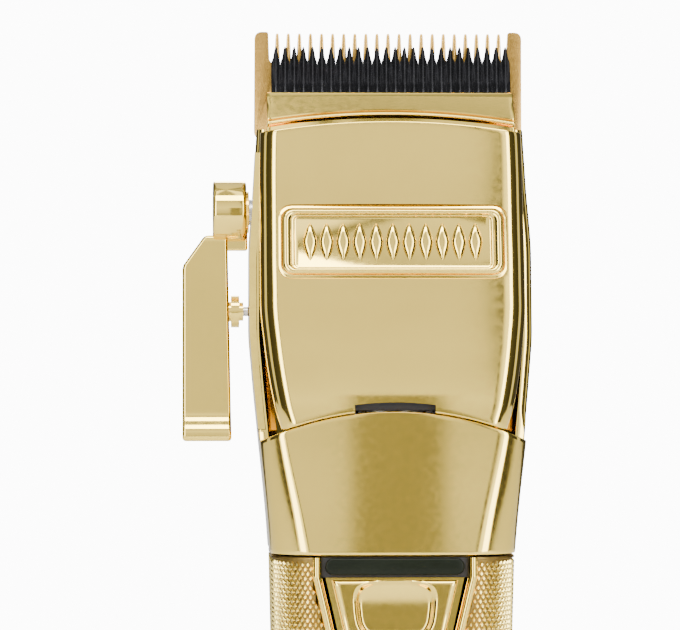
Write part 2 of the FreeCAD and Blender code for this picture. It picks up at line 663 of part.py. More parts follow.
def make_drive_eccentric():
    disc = rod(4.3, V(0, MOTOR_Y, DISC_BASE), DISC_TOP - DISC_BASE, AXIS_Z)
    pin = rod(1.0, V(0, MOTOR_Y - ECCENTRIC_OFFSET, DISC_TOP - 0.1), PIN_TOP - DISC_TOP + 0.1, AXIS_Z)
    return disc.cut(rod(1.15, V(0, MOTOR_Y, DISC_BASE - 1), SHAFT_TOP - DISC_BASE + 1, AXIS_Z)).fuse(pin)


def make_drive_bearing():
    centre = V(0, MOTOR_Y - ECCENTRIC_OFFSET, BEARING_BASE)
    ring = rod(DRIVE_BEARING_RADIUS, centre, BEARING_TOP - BEARING_BASE, AXIS_Z)
    return ring.cut(rod(1.0, centre, 10, AXIS_Z))


def make_motor_bracket():
    bracket = box(-12.0, 12.0, MOTOR_Y - 7.0, 9.9, MOTOR_TOP, BRACKET_TOP)
    bracket = bracket.cut(rod(3.4, V(0, MOTOR_Y, MOTOR_TOP - 1), 4, AXIS_Z))
    bracket = bracket.fuse(box(-12.0, 12.0, 8.5, 9.9, MOTOR_TOP - 6.0, MOTOR_TOP + 0.1))
    for side in (-1, 1):
        bracket = bracket.cut(rod(1.1, V(side * 6.5, MOTOR_Y, MOTOR_TOP - 1), 4, AXIS_Z))
    return bracket


def make_motor_screws():
    screws = []
    for side in (-1, 1):
        x = side * 6.5
        head = rod(1.9, V(x, MOTOR_Y, BRACKET_TOP), 1.2, AXIS_Z)
        head = head.cut(box(x - 2, x + 2, MOTOR_Y - 0.25, MOTOR_Y + 0.25, BRACKET_TOP + 0.7, BRACKET_TOP + 2))
        screws.append(head.fuse(rod(0.95, V(x, MOTOR_Y, MOTOR_TOP - 1.3), 2.8, AXIS_Z)))
    return Part.makeCompound(screws)


def make_motor_damper():
    """Rubber ring between the motor's foot and the chassis."""
    ring = rod(MOTOR_RADIUS, V(0, MOTOR_Y, MOTOR_BASE - 1.6), 1.6, AXIS_Z)
    return ring.cut(rod(6.0, V(0, MOTOR_Y, MOTOR_BASE - 2), 3, AXIS_Z))


def make_inner_frame():
    """Moulded chassis: a spine behind the motor and the battery, with shelves."""
    spine = box(-9.5, 9.5, 8.6, 10.0, 9.0, MOTOR_TOP - 6.2)
    shelf = form(GRIP_STATIONS, WALL + 0.25)
    shelf = shelf.common(box(-30, 30, -30, 30, 80.6, 82.8))
    shelf = shelf.common(box(-30, 30, -10.6, 30, 80, 83))
    shelf = shelf.cut(rod(5.0, V(0, -3, 80), 4, AXIS_Z))
    tray = box(-12.0, 12.0, MOTOR_Y - 10, 10.0, MOTOR_BASE - 3.4, MOTOR_BASE - 1.6)
    tray = tray.cut(rod(6.0, V(0, MOTOR_Y, MOTOR_BASE - 4), 3, AXIS_Z))
    frame = spine.fuse(shelf).fuse(tray)
    for side in (-1, 1):
        guard = box(12.0, 13.2, MOTOR_Y - 2, 10.0, MOTOR_BASE - 3.4, MOTOR_BASE + 10)
        frame = frame.fuse(guard if side == 1 else mirror_x(guard))
        web = box(9.0, 13.2, 8.6, 10.0, MOTOR_BASE - 3.4, MOTOR_BASE + 10)
        frame = frame.fuse(web if side == 1 else mirror_x(web))
    return frame


def make_carrier_guide():
    """Two jaws beside the blade carrier, on a cross bar above the motor bracket."""
    bar = box(-16.2, 16.2, 5.6, 8.4, BRACKET_TOP, BRACKET_TOP + 2.0)
    jaw = box(14.06, 16.2, -0.6, 8.4, BRACKET_TOP, 136.4)
    lip = box(11.5, 16.2, -0.6, 0.8, BRACKET_TOP, 136.4)
    back = box(11.5, 16.2, 3.25, 4.6, BRACKET_TOP, 136.4)
    return bar.fuse(both_sides(jaw.fuse(lip).fuse(back)))


# ---------------------------------------------------------------- battery and electronics
CELL_Y = -1.2


def make_battery_cell():
    cell = rod(CELL_RADIUS, V(0, CELL_Y, CELL_BASE), CELL_LENGTH - 1.2, AXIS_Z)
    return cell.fuse(rod(2.8, V(0, CELL_Y, CELL_BASE + CELL_LENGTH - 1.3), 1.0, AXIS_Z))


def make_battery_cradle():
    cradle = rod(CELL_RADIUS + 1.3, V(0, CELL_Y, CELL_BASE - 1.4), CELL_LENGTH - 2.0, AXIS_Z)
    cradle = cradle.cut(rod(CELL_RADIUS + 0.1, V(0, CELL_Y, CELL_BASE), CELL_LENGTH, AXIS_Z))
    cradle = cradle.common(box(-12, 12, CELL_Y + 1.0, 8.55, 0, 100))
    return cradle.cut(box(-12, 12, -10, 20, 34, 58).common(box(-30, 30, 0, 5.0, 0, 100)))


def make_control_board():
    board = box(-8.5, 8.5, -12.4, -11.2, 22.0, 79.6)
    chip = box(-3.0, 3.0, -13.2, -12.3, 34.0, 40.0)
    coil = rod(2.2, V(4.5, -14.0, 47.0), 1.8, AXIS_Y)
    return board.fuse(chip).fuse(coil)


def make_switch_contacts():
    block = box(-4.0, 4.0, -14.0, -12.4, 60.5, 78.0)
    track = box(-2.3, 2.3, -15.0, -13.2, 63.8, 77.0)
    return block.cut(track)


def make_status_light():
    return Part.makeCompound([box(x - 1.2, x + 1.2, -15.0, -13.9, 80.9, 82.2) for x in (-7.0, 0.0, 7.0)])


def make_light_board():
    return box(-10.0, 10.0, -13.9, -13.0, 79.9, 83.0).cut(box(-3, 3, -13.5, -12, 79, 80.4))


def make_charge_board():
    board = box(-12.0, 12.0, -14.0, 12.0, 12.4, 13.6)
    board = board.cut(box(-9.6, 9.6, 8.4, 13.0, 10, 15))
    return board.cut(rod(2.0, V(8.5, -9.0, 10), 5, AXIS_Z))


# ---------------------------------------------------------------- foot
CAP_SCREW_X = 14.0
CONTACT_X = 6.5
CONTACT_Y = -1.0


def make_end_cap():
    cap = form(CAP_STATIONS)
    core = form(stretched(CAP_STATIONS[1:], 0.0), 2.4)
    cap = cap.cut(core.common(box(-30, 30, -30, 30, 4.2, 10)))
    plug = form(stretched(GRIP_STATIONS, 2.0), WALL + 0.1).common(box(-30, 30, -30, 30, CAP_TOP - 1.5, 11.0))
    plug = plug.cut(form(stretched(GRIP_STATIONS, 3.0), WALL + 1.7))
    plug = plug.cut(box(-30, 30, -30, -14.5, 0, 20))
    cap = cap.fuse(plug)
    cap = cap.fuse(rod(SOCKET_RADIUS + 1.6, V(0, SOCKET_Y, 2.0), CAP_TOP - 2.1, AXIS_Z))
    recess = box(-LOOP_HALF_WIDTH - 0.8, LOOP_HALF_WIDTH + 0.8, LOOP_Y - LOOP_REACH - 0.9, LOOP_Y + 1.2, -1, 2.6)
    cap = cap.fuse(box(-8.5, 8.5, 1.0, 15.4, 3.0, 5.4))
    cap = cap.cut(recess)
    cap = cap.cut(rod(0.75, V(-8.4, LOOP_Y, LOOP_Z), 16.8, AXIS_X))
    cap = cap.cut(rod(SOCKET_RADIUS, V(0, SOCKET_Y, -1), 10, AXIS_Z))
    for side in (-1, 1):
        cap = cap.cut(rod(1.75, V(side * CONTACT_X, CONTACT_Y, -1), 8, AXIS_Z))
        cap = cap.fuse(rod(2.6, V(side * CAP_SCREW_X, 0, 2.0), 4.0, AXIS_Z))
        cap = cap.cut(rod(1.2, V(side * CAP_SCREW_X, 0, -1), 12, AXIS_Z))
        cap = cap.cut(rod(2.1, V(side * CAP_SCREW_X, 0, -1), 2.8, AXIS_Z))
    return cap


def make_cap_screws():
    screws = []
    for side in (-1, 1):
        x = side * CAP_SCREW_X
        head = rod(2.0, V(x, 0, 0.4), 1.3, AXIS_Z).cut(box(x - 3, x + 3, -0.3, 0.3, 0, 1.0))
        screws.append(head.fuse(rod(1.15, V(x, 0, 1.6), 9.0, AXIS_Z)))
    return Part.makeCompound(screws)


def make_cap_anchor():
    """Plate inside the grip that the foot's screws pull on."""
    plate = form(GRIP_STATIONS, WALL + 2.0).common(box(-30, 30, -30, 30, 9.0, 11.4))
    plate = plate.common(box(-30, 30, -12.0, 8.4, 0, 20)).cut(rod(4.6, V(0, SOCKET_Y, 0), 20, AXIS_Z))
    for side in (-1, 1):
        plate = plate.cut(rod(1.15, V(side * CAP_SCREW_X, 0, 0), 20, AXIS_Z))
        plate = plate.cut(rod(2.0, V(side * CONTACT_X, CONTACT_Y, 0), 20, AXIS_Z))
    return plate


def make_charging_socket():
    barrel = rod(SOCKET_RADIUS + 1.2, V(0, SOCKET_Y, CAP_TOP), 6.0, AXIS_Z)
    barrel = barrel.cut(rod(SOCKET_RADIUS + 0.3, V(0, SOCKET_Y, CAP_TOP - 1), 5.6, AXIS_Z))
    return barrel.fuse(rod(0.65, V(0, SOCKET_Y, CAP_TOP + 1.2), 3.6, AXIS_Z))


def make_charge_contacts():
    contacts = []
    for side in (-1, 1):
        x = side * CONTACT_X
        contacts.append(rod(1.7, V(x, CONTACT_Y, 0.15), 5.0, AXIS_Z).fuse(rod(0.8, V(x, CONTACT_Y, 5.0), 7.4, AXIS_Z)))
    return Part.makeCompound(contacts)


def make_hanging_loop():
    half = LOOP_HALF_WIDTH
    inner = half - LOOP_WIRE
    low = LOOP_Z - LOOP_WIRE / 2
    high = LOOP_Z + LOOP_WIRE / 2
    front = LOOP_Y - LOOP_REACH
    arm = box(inner, half, front + 2.0, LOOP_Y, low, high)
    arm = arm.fuse(rod(LOOP_WIRE / 2 + 0.25, V(inner, LOOP_Y, LOOP_Z), LOOP_WIRE, AXIS_X))
    arm = arm.cut(rod(0.75, V(inner - 1, LOOP_Y, LOOP_Z), 5, AXIS_X))
    corner = rod(2.0, V(half - 2.0, front + 2.0, low), LOOP_WIRE, AXIS_Z)
    corner = corner.common(box(half - 2.0, half, front, front + 2.0, low, high))
    corner = corner.cut(rod(2.0 - LOOP_WIRE, V(half - 2.0, front + 2.0, low), LOOP_WIRE, AXIS_Z))
    bow = box(-half + 2.0, half - 2.0, front, front + LOOP_WIRE, low, high)
    return both_sides(arm.fuse(corner)).fuse(bow)


def make_loop_pin():
    return rod(0.7, V(-8.3, LOOP_Y, LOOP_Z), 16.6, AXIS_X)


MAKERS = {
    "front_cover": make_front_cover,
    "name_plate": make_name_plate,
    "neck_cover": make_neck_cover,
    "rear_shell": make_rear_shell,
    "side_plate": make_side_plate,
    "housing_screws": make_housing_screws,
    "grip_sleeve": make_grip_sleeve,
    "strip_frame": make_strip_frame,
    "indicator_lens": make_indicator_lens,
    "lens_seal": make_lens_seal,
    "power_switch": make_power_switch,
    "fixed_blade": make_fixed_blade,
    "cutter_blade": make_cutter_blade,
    "cutter_guide": make_cutter_guide,
    "blade_cover": make_blade_cover,
    "blade_carrier": make_blade_carrier,
    "blade_screws": make_blade_screws,
    "blade_spring": make_blade_spring,
    "taper_lever": make_taper_lever,
    "lever_screw": make_lever_screw,
    "lever_cam": make_lever_cam,
    "lever_detent": make_lever_detent,
    "detent_pin": make_detent_pin,
    "detent_spring": make_detent_spring,
    "motor_can": make_motor_can,
    "motor_rotor": make_motor_rotor,
    "drive_eccentric": make_drive_eccentric,
    "drive_bearing": make_drive_bearing,
    "motor_bracket": make_motor_bracket,
    "motor_screws": make_motor_screws,
    "motor_damper": make_motor_damper,
    "inner_frame": make_inner_frame,
    "carrier_guide": make_carrier_guide,
    "battery_cell": make_battery_cell,
    "battery_cradle": make_battery_cradle,
    "control_board": make_control_board,
    "switch_contacts": make_switch_contacts,
    "status_light": make_status_light,
    "light_board": make_light_board,
    "charge_board": make_charge_board,
    "end_cap": make_end_cap,
    "cap_screws": make_cap_screws,
    "cap_anchor": make_cap_anchor,
    "charging_socket": make_charging_socket,
    "charge_contacts": make_charge_contacts,
    "hanging_loop": make_hanging_loop,
    "loop_pin": make_loop_pin,
}

os.makedirs("parts", exist_ok=True)
for name, maker in MAKERS.items():
    save(name, maker())
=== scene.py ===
"""Looks of the cordless hair clipper: polished gold shells, knurled grip, comb blade and taper lever."""
import bpy
import bmesh
import json
import math
from mathutils import Matrix, Vector


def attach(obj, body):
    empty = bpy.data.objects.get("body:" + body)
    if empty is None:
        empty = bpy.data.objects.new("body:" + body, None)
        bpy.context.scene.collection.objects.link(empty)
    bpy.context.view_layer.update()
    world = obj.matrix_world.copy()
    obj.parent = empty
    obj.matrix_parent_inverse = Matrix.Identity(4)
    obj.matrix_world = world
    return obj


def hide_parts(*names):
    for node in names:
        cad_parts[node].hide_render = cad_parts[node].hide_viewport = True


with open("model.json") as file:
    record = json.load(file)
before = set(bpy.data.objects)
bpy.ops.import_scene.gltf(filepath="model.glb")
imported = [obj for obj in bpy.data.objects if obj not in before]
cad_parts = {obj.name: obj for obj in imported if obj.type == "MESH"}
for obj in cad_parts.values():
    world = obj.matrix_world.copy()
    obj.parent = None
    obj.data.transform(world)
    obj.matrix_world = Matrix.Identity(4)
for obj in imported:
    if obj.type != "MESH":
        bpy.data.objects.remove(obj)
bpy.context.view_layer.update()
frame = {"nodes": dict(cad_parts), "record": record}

MM = 0.001


def add_object(name, data):
    """New object in the scene."""
    made = bpy.data.objects.new(name, data)
    bpy.context.scene.collection.objects.link(made)
    return made


# ---------------------------------------------------------------- camera
VIEW_AZIMUTH = math.radians(-2.4)
CAMERA_DISTANCE = 620.0
PICTURE_WIDTH = 116.2
PICTURE_CENTRE = Vector((-8.4, 0.0, 123.4))
SENSOR = 36.0


def make_camera():
    data = bpy.data.cameras.new("camera")
    data.sensor_width = SENSOR
    data.lens = SENSOR * CAMERA_DISTANCE / PICTURE_WIDTH
    data.clip_start = 0.01
    camera = add_object("camera", data)
    away = Vector((math.sin(VIEW_AZIMUTH), -math.cos(VIEW_AZIMUTH), 0.0))
    camera.location = (PICTURE_CENTRE + away * CAMERA_DISTANCE) * MM
    camera.rotation_euler = (-away).to_track_quat("-Z", "Y").to_euler()
    bpy.context.scene.camera = camera


make_camera()


# ---------------------------------------------------------------- materials
NOISE_LOW = 0.35
NOISE_HIGH = 0.65


def color_ramp(tree, source, stops):
    """Colour ramp with (position, colour) stops."""
    made = tree.nodes.new("ShaderNodeValToRGB")
    while len(made.color_ramp.elements) < len(stops):
        made.color_ramp.elements.new(0.5)
    for element, (position, color) in zip(made.color_ramp.elements, stops):
        element.position = position
        element.color = (*color, 1.0)
    tree.links.new(source, made.inputs["Fac"])
    return made.outputs["Color"]


class Shader:
    """A principled material built node by node."""

    def __init__(self, name, color, metallic=0.0, roughness=0.4, **sockets):
        self.material = bpy.data.materials.new(name)
        self.material.use_nodes = True
        self.tree = self.material.node_tree
        self.bsdf = self.tree.nodes["Principled BSDF"]
        self.color = color
        self.roughness = roughness
        self.set("Base Color", (*color, 1.0))
        self.set("Metallic", metallic)
        self.set("Roughness", roughness)
        for socket, value in sockets.items():
            self.set(socket.replace("_", " "), value)
        self.bumps = []

    def set(self, socket, value):
        self.bsdf.inputs[socket].default_value = value

    def link(self, source, target):
        self.tree.links.new(source, target)

    def noise(self, scale, detail=3.0, stretch=(1, 1, 1)):
        """Noise over the object's own coordinates; the scale is in cells per metre."""
        place = self.tree.nodes.new("ShaderNodeTexCoord")
        mapping = self.tree.nodes.new("ShaderNodeMapping")
        mapping.inputs["Scale"].default_value = stretch
        texture = self.tree.nodes.new("ShaderNodeTexNoise")
        texture.inputs["Scale"].default_value = scale
        texture.inputs["Detail"].default_value = detail
        self.link(place.outputs["Object"], mapping.inputs["Vector"])
        self.link(mapping.outputs["Vector"], texture.inputs["Vector"])
        return texture.outputs["Fac"]

    def between(self, source, low, high):
        """Rescale a noise value from its usual range to another one."""
        made = self.tree.nodes.new("ShaderNodeMapRange")
        made.inputs["From Min"].default_value = NOISE_LOW
        made.inputs["From Max"].default_value = NOISE_HIGH
        made.inputs["To Min"].default_value = low
        made.inputs["To Max"].default_value = high
        self.link(source, made.inputs["Value"])
        return made.outputs["Result"]

    def vary_roughness(self, scale, amount, stretch=(1, 1, 1)):
        noise = self.noise(scale, 4.0, stretch)
        value = self.between(noise, self.roughness - amount, self.roughness + amount)
        self.link(value, self.bsdf.inputs["Roughness"])

    def vary_color(self, scale, change, stretch=(1, 1, 1)):
        """Blend between a darker and a lighter tone of the base colour."""
        dark = tuple(channel * (1.0 - change) for channel in self.color)
        light = tuple(min(1.0, channel * (1.0 + change)) for channel in self.color)
        noise = self.noise(scale, 4.0, stretch)
        color = color_ramp(self.tree, noise, [(NOISE_LOW, dark), (NOISE_HIGH, light)])
        self.link(color, self.bsdf.inputs["Base Color"])

    def bump(self, source, distance, strength):
        """Lay a height over the bumps so far; the distance is in metres."""
        made = self.tree.nodes.new("ShaderNodeBump")
        made.inputs["Distance"].default_value = distance
        made.inputs["Strength"].default_value = strength
        if self.bumps:
            self.link(self.bumps[-1].outputs["Normal"], made.inputs["Normal"])
        self.link(source, made.inputs["Height"])
        self.link(made.outputs["Normal"], self.bsdf.inputs["Normal"])
        self.bumps.append(made)

    def finish(self, tint, gloss, grain):
        """Vary the colour and the gloss, add a fine grain, and hand the material over."""
        self.vary_color(*tint)
        self.vary_roughness(*gloss)
        noise, distance, strength = grain
        self.bump(self.noise(*noise), distance, strength)
        return self.material


GOLD = (0.87, 0.63, 0.13)


def polished_gold():
    shader = Shader("polished_gold", GOLD, metallic=1.0, roughness=0.085)
    shader.vary_color(60.0, 0.03)
    shader.vary_roughness(900.0, 0.02)
    shader.bump(shader.noise(25.0, 2.0), 0.00003, 0.12)
    shader.bump(shader.noise(6000.0, 3.0, (1, 1, 6)), 0.0000015, 0.25)
    return shader.material


def knurled_gold():
    shader = Shader("knurled_gold", (0.93, 0.72, 0.20), metallic=1.0, roughness=0.2)
    return shader.finish((700.0, 0.08), (1500.0, 0.06), ((4000.0, 3.0), 0.000004, 0.4))


def ground_gold():
    shader = Shader("ground_gold", (0.46, 0.27, 0.06), metallic=1.0, roughness=0.24)
    return shader.finish((200.0, 0.06, (1, 1, 8)), (1200.0, 0.05, (12, 1, 1)),
                         ((2500.0, 3.0, (14, 1, 1)), 0.000003, 0.4))


def black_carbon():
    shader = Shader("black_carbon", (0.02, 0.02, 0.022), metallic=0.75, roughness=0.2)
    return shader.finish((500.0, 0.25), (1500.0, 0.07, (10, 1, 1)),
                         ((3000.0, 3.0, (10, 1, 1)), 0.000003, 0.4))


def satin_steel():
    shader = Shader("satin_steel", (0.55, 0.55, 0.56), metallic=1.0, roughness=0.3)
    return shader.finish((300.0, 0.08), (1500.0, 0.08), ((3500.0, 3.0), 0.000003, 0.4))


def smoked_lens():
    shader = Shader("smoked_lens", (0.008, 0.010, 0.006), roughness=0.2, Specular_IOR_Level=0.08)
    shader.vary_color(120.0, 0.12, (1, 1, 4))
    shader.vary_roughness(500.0, 0.04)
    return shader.material


# Dark gold for the wall between the knurl's studs: painted shade in the grooves.
def painted_shade_groove_gold():
    shader = Shader("painted_shade_groove_gold", (0.20, 0.13, 0.035), metallic=1.0, roughness=0.45)
    shader.vary_color(700.0, 0.15)
    shader.vary_roughness(1500.0, 0.08)
    return shader.material


def moulded_plastic(name, color, roughness=0.5):
    shader = Shader(name, color, roughness=roughness, Specular_IOR_Level=0.25)
    return shader.finish((400.0, 0.12), (1500.0, 0.08), ((5000.0, 4.0), 0.000008, 0.5))


def plated_brass():
    shader = Shader("plated_brass", (0.78, 0.58, 0.26), metallic=1.0, roughness=0.22)
    return shader.finish((500.0, 0.1), (1500.0, 0.06), ((3000.0, 3.0), 0.000003, 0.4))


def cell_wrap():
    shader = Shader("cell_wrap", (0.07, 0.2, 0.4), roughness=0.3, Coat_Weight=0.3)
    return shader.finish((300.0, 0.1), (800.0, 0.06), ((600.0, 3.0, (1, 1, 0.3)), 0.00002, 0.3))


MATERIALS = {
    "gold_polished": polished_gold(),
    "gold_satin": knurled_gold(),
    "gold_blade": ground_gold(),
    "black_blade": black_carbon(),
    "steel": satin_steel(),
    "smoked_lens": smoked_lens(),
    "black_plastic": moulded_plastic("black_plastic", (0.014, 0.013, 0.013)),
    "grey_plastic": moulded_plastic("grey_plastic", (0.16, 0.16, 0.17)),
    "rubber_black": moulded_plastic("rubber_black", (0.02, 0.02, 0.02), 0.75),
    "battery_wrap": cell_wrap(),
    "board_green": moulded_plastic("board_green", (0.03, 0.16, 0.07), 0.35),
    "contact_brass": plated_brass(),
    "light_white": moulded_plastic("light_white", (0.75, 0.78, 0.7), 0.25),
}


def dress_cad_nodes():
    """Give every CAD node the material of its slot."""
    for part in frame["record"]["subparts"]:
        mesh = frame["nodes"][part["node"]].data
        mesh.materials.clear()
        mesh.materials.append(MATERIALS[part["material_slot"]])


dress_cad_nodes()


# ---------------------------------------------------------------- mesh tools
SHARP_ANGLE = 35.0
MOST_SMOOTH_CORNERS = 12
LEAST_RADIUS = 0.01


def spread(count, start=0.0, end=1.0):
    """Evenly spaced numbers, both ends included."""
    return [start + (end - start) * k / (count - 1) for k in range(count)]


class Piece:
    """A mesh collected in millimetres."""

    def __init__(self):
        self.points = []
        self.faces = []

    def add(self, point):
        self.points.append(Vector(point))
        return len(self.points) - 1

    def face(self, *corners):
        self.faces.append(tuple(corners))

    def strip(self, low, high, loop=False):
        """Quads between two rows of equal length."""
        count = len(low)
        for k in range(count if loop else count - 1):
            after = (k + 1) % count
            self.face(low[k], low[after], high[after], high[k])

    def grid(self, rows, loop=False):
        """Add a grid of points with the quads between its rows."""
        indices = [[self.add(point) for point in row] for row in rows]
        for low, high in zip(indices, indices[1:]):
            self.strip(low, high, loop)
        return indices

    def cap(self, row):
        """Close a ring with a fan."""
        middle = self.add(sum((self.points[k] for k in row), Vector()) / len(row))
        for k in range(len(row)):
            self.face(row[k], row[(k + 1) % len(row)], middle)

    def tube(self, rings):
        """Closed solid from a stack of rings, with a fan at each end."""
        indices = self.grid(rings, loop=True)
        self.cap(indices[0])
        self.cap(indices[-1])

    def closed(self, rings):
        """Closed solid from a stack of rings, with one flat face at each end."""
        indices = self.grid(rings, loop=True)
        self.face(*indices[0])
        self.face(*indices[-1])

    def merge(self, other):
        """Take in another piece's mesh."""
        start = len(self.points)
        self.points += other.points
        self.faces += [tuple(start + k for k in face) for face in other.faces]

    def mesh(self, name, angle=SHARP_ANGLE):
        """Blender mesh in metres, with its doubles merged and its normals outward."""
        data = bpy.data.meshes.new(name)
        shape = bmesh.new()
        corners = [shape.verts.new(point * MM) for point in self.points]
        for face in self.faces:
            try:
                shape.faces.new([corners[k] for k in face])
            except ValueError:
                continue
        bmesh.ops.remove_doubles(shape, verts=shape.verts, dist=2e-6)
        bmesh.ops.dissolve_degenerate(shape, edges=shape.edges, dist=1e-6)
        bmesh.ops.recalc_face_normals(shape, faces=shape.faces)
        shape.to_mesh(data)
        shape.free()
        smooth(data, angle)
        return data


def smooth(data, angle):
    """Smooth shading below an edge angle in degrees, but flat on faces with many corners."""
    data.polygons.foreach_set("use_smooth",
                              [polygon.loop_total <= MOST_SMOOTH_CORNERS for polygon in data.polygons])
    data.set_sharp_from_angle(angle=math.radians(angle))


def show(data, slot, body, *replaced):
    """Make the object for a mesh, give it its slot's material, hang it on its body and hide any CAD parts it
    replaces.
    """
    piece = add_object(data.name, data)
    data.materials.clear()
    data.materials.append(MATERIALS[slot])
    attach(piece, body)
    if replaced:
        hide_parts(*replaced)
    return piece


def carve(data, cutters, name):
    """Cut several meshes out of one; returns a new mesh."""
    target = add_object("target", data)
    helpers = []
    for cutter in cutters:
        helper = add_object("cutter", cutter)
        helpers.append(helper)
        change = target.modifiers.new("cut", "BOOLEAN")
        change.operation = "DIFFERENCE"
        change.solver = "EXACT"
        change.object = helper
    graph = bpy.context.evaluated_depsgraph_get()
    result = bpy.data.meshes.new_from_object(target.evaluated_get(graph))
    result.name = name
    for helper in helpers + [target]:
        bpy.data.objects.remove(helper)
    smooth(result, SHARP_ANGLE)
    return result


def along(axis, place, a, b):
    """Point from a place along an axis and two coordinates across it."""
    return Vector({"x": (place, a, b), "y": (a, place, b), "z": (a, b, place)}[axis])


def ring(center, radius, axis, count):
    """Points on a circle about one of the main axes."""
    points = []
    for k in range(count):
        angle = 2 * math.pi * k / count
        a, b = radius * math.cos(angle), radius * math.sin(angle)
        offset = {"x": (0, a, b), "y": (b, 0, a), "z": (a, b, 0)}[axis]
        points.append(Vector(center) + Vector(offset))
    return points


def turned(axis, base, profile, count):
    """Solid turned about an axis; the profile is (distance along, radius)."""
    piece = Piece()
    piece.tube([ring(Vector(base) + along(axis, distance, 0, 0), max(radius, LEAST_RADIUS), axis, count)
                for distance, radius in profile])
    return piece


def monotone(table):
    """Smooth curve through a table of rows (place, values...) that never overshoots."""
    places = [row[0] for row in table]
    columns = list(zip(*[row[1:] for row in table]))
    slopes = []
    for column in columns:
        secants = [(b - a) / (q - p) for a, b, p, q in zip(column, column[1:], places, places[1:])]
        inner = [0.0 if s * t <= 0 else 2 * s * t / (s + t) for s, t in zip(secants, secants[1:])]
        slopes.append([secants[0]] + inner + [secants[-1]])

    def value(place):
        place = min(max(place, places[0]), places[-1])
        k = 0
        while k < len(places) - 2 and place > places[k + 1]:
            k += 1
        width = places[k + 1] - places[k]
        t = (place - places[k]) / width
        a, b = 2 * t ** 3 - 3 * t ** 2 + 1, t ** 3 - 2 * t ** 2 + t
        c, d = 3 * t ** 2 - 2 * t ** 3, t ** 3 - t ** 2
        return tuple(a * column[k] + b * width * slope[k] + c * column[k + 1] + d * width * slope[k + 1]
                     for column, slope in zip(columns, slopes))

    return value


# ---------------------------------------------------------------- shells
# Stations of a section: height, half width, front y, rear y, front corner radius, rear corner radius.
BODY = monotone([(83.5, 20.6, -18.2, 17.5, 7.2, 9.0), (89.8, 21.1, -18.0, 17.4, 6.4, 9.0),
                 (102.6, 22.4, -17.5, 16.8, 4.8, 8.5), (113.9, 23.5, -17.4, 16.0, 4.0, 8.0),
                 (121.0, 24.0, -17.2, 15.5, 4.0, 7.5), (133.0, 24.0, -16.3, 13.0, 4.0, 6.0),
                 (145.0, 23.25, -14.6, 8.6, 4.0, 3.0), (155.0, 22.7, -12.0, 7.8, 4.0, 2.5)])
COVER = monotone([(103.0, 18.4, -19.4, 16.0, 3.2, 6.0), (108.8, 20.1, -18.9, 16.0, 3.1, 6.0),
                  (118.0, 21.6, -16.8, 16.0, 3.1, 6.0), (126.0, 22.3, -14.6, 16.0, 3.1, 6.0),
                  (133.0, 22.3, -12.65, 16.0, 3.0, 6.0), (146.0, 22.3, -9.2, 16.0, 3.0, 6.0),
                  (157.0, 22.1, -6.8, 16.0, 3.0, 6.0)])
GRIP = monotone([(6.5, 19.8, -17.6, 16.8, 8.0, 9.0), (45.0, 19.8, -17.8, 17.0, 8.0, 9.0),
                 (83.2, 20.5, -18.2, 17.5, 7.4, 9.0)])
FRONT_CROWN = 420.0
WALL = 1.6
GAP = 0.25
LIP = 0.25
LIP_STEPS = (0.0, 0.08, 0.25, 0.55, 1.0)
SIDE, CORNER, FACE = 0, 1, 2
SETTLE_ROUNDS = 5
SIDE_LIP_LOW = 103.0
SIDE_LIP_HIGH = 108.0
SHOULDER_Y = -9.0
SHOULDER_LOW = 104.0
SHOULDER_HIGH = 156.0
SHOULDER_RUN = 6.5


def columns_of(side_count=8, corner_count=12, face_count=36, lip=LIP):
    """Columns round a U-shaped section from one open end to the other."""
    half = [(SIDE, lip * step, 0.0) for step in LIP_STEPS]
    half += [(SIDE, lip, t) for t in spread(side_count)[1:]]
    half += [(CORNER, 0.0, t) for t in spread(corner_count)[1:]]
    left = [(-1,) + column for column in half]
    right = [(1,) + column for column in reversed(half)]
    middle = [(0, FACE, 0.0, t) for t in spread(face_count, -1.0, 1.0)[1:-1]]
    return left + middle + right


def outline_point(values, column, open_y, back=False):
    """Point of a section: its face is an arc, its corners are round and its sides run to open_y."""
    half, front, rear, front_radius, rear_radius = values
    face, radius, way = (rear, rear_radius, 1.0) if back else (front, front_radius, -1.0)
    side, kind, lip, t = column
    lean = math.asin((half - radius) / (FRONT_CROWN - radius))
    center_y = face - way * FRONT_CROWN + way * (FRONT_CROWN - radius) * math.cos(lean)
    if kind == SIDE:
        start = open_y + way * lip
        return Vector((side * half, start + (center_y - start) * t))
    if kind == CORNER:
        angle = math.pi / 2 + (lean - math.pi / 2) * t
        return Vector((side * (half - radius + radius * math.sin(angle)),
                       center_y + way * radius * math.cos(angle)))
    angle = lean * t
    return Vector((FRONT_CROWN * math.sin(angle), face - way * FRONT_CROWN * (1 - math.cos(angle))))


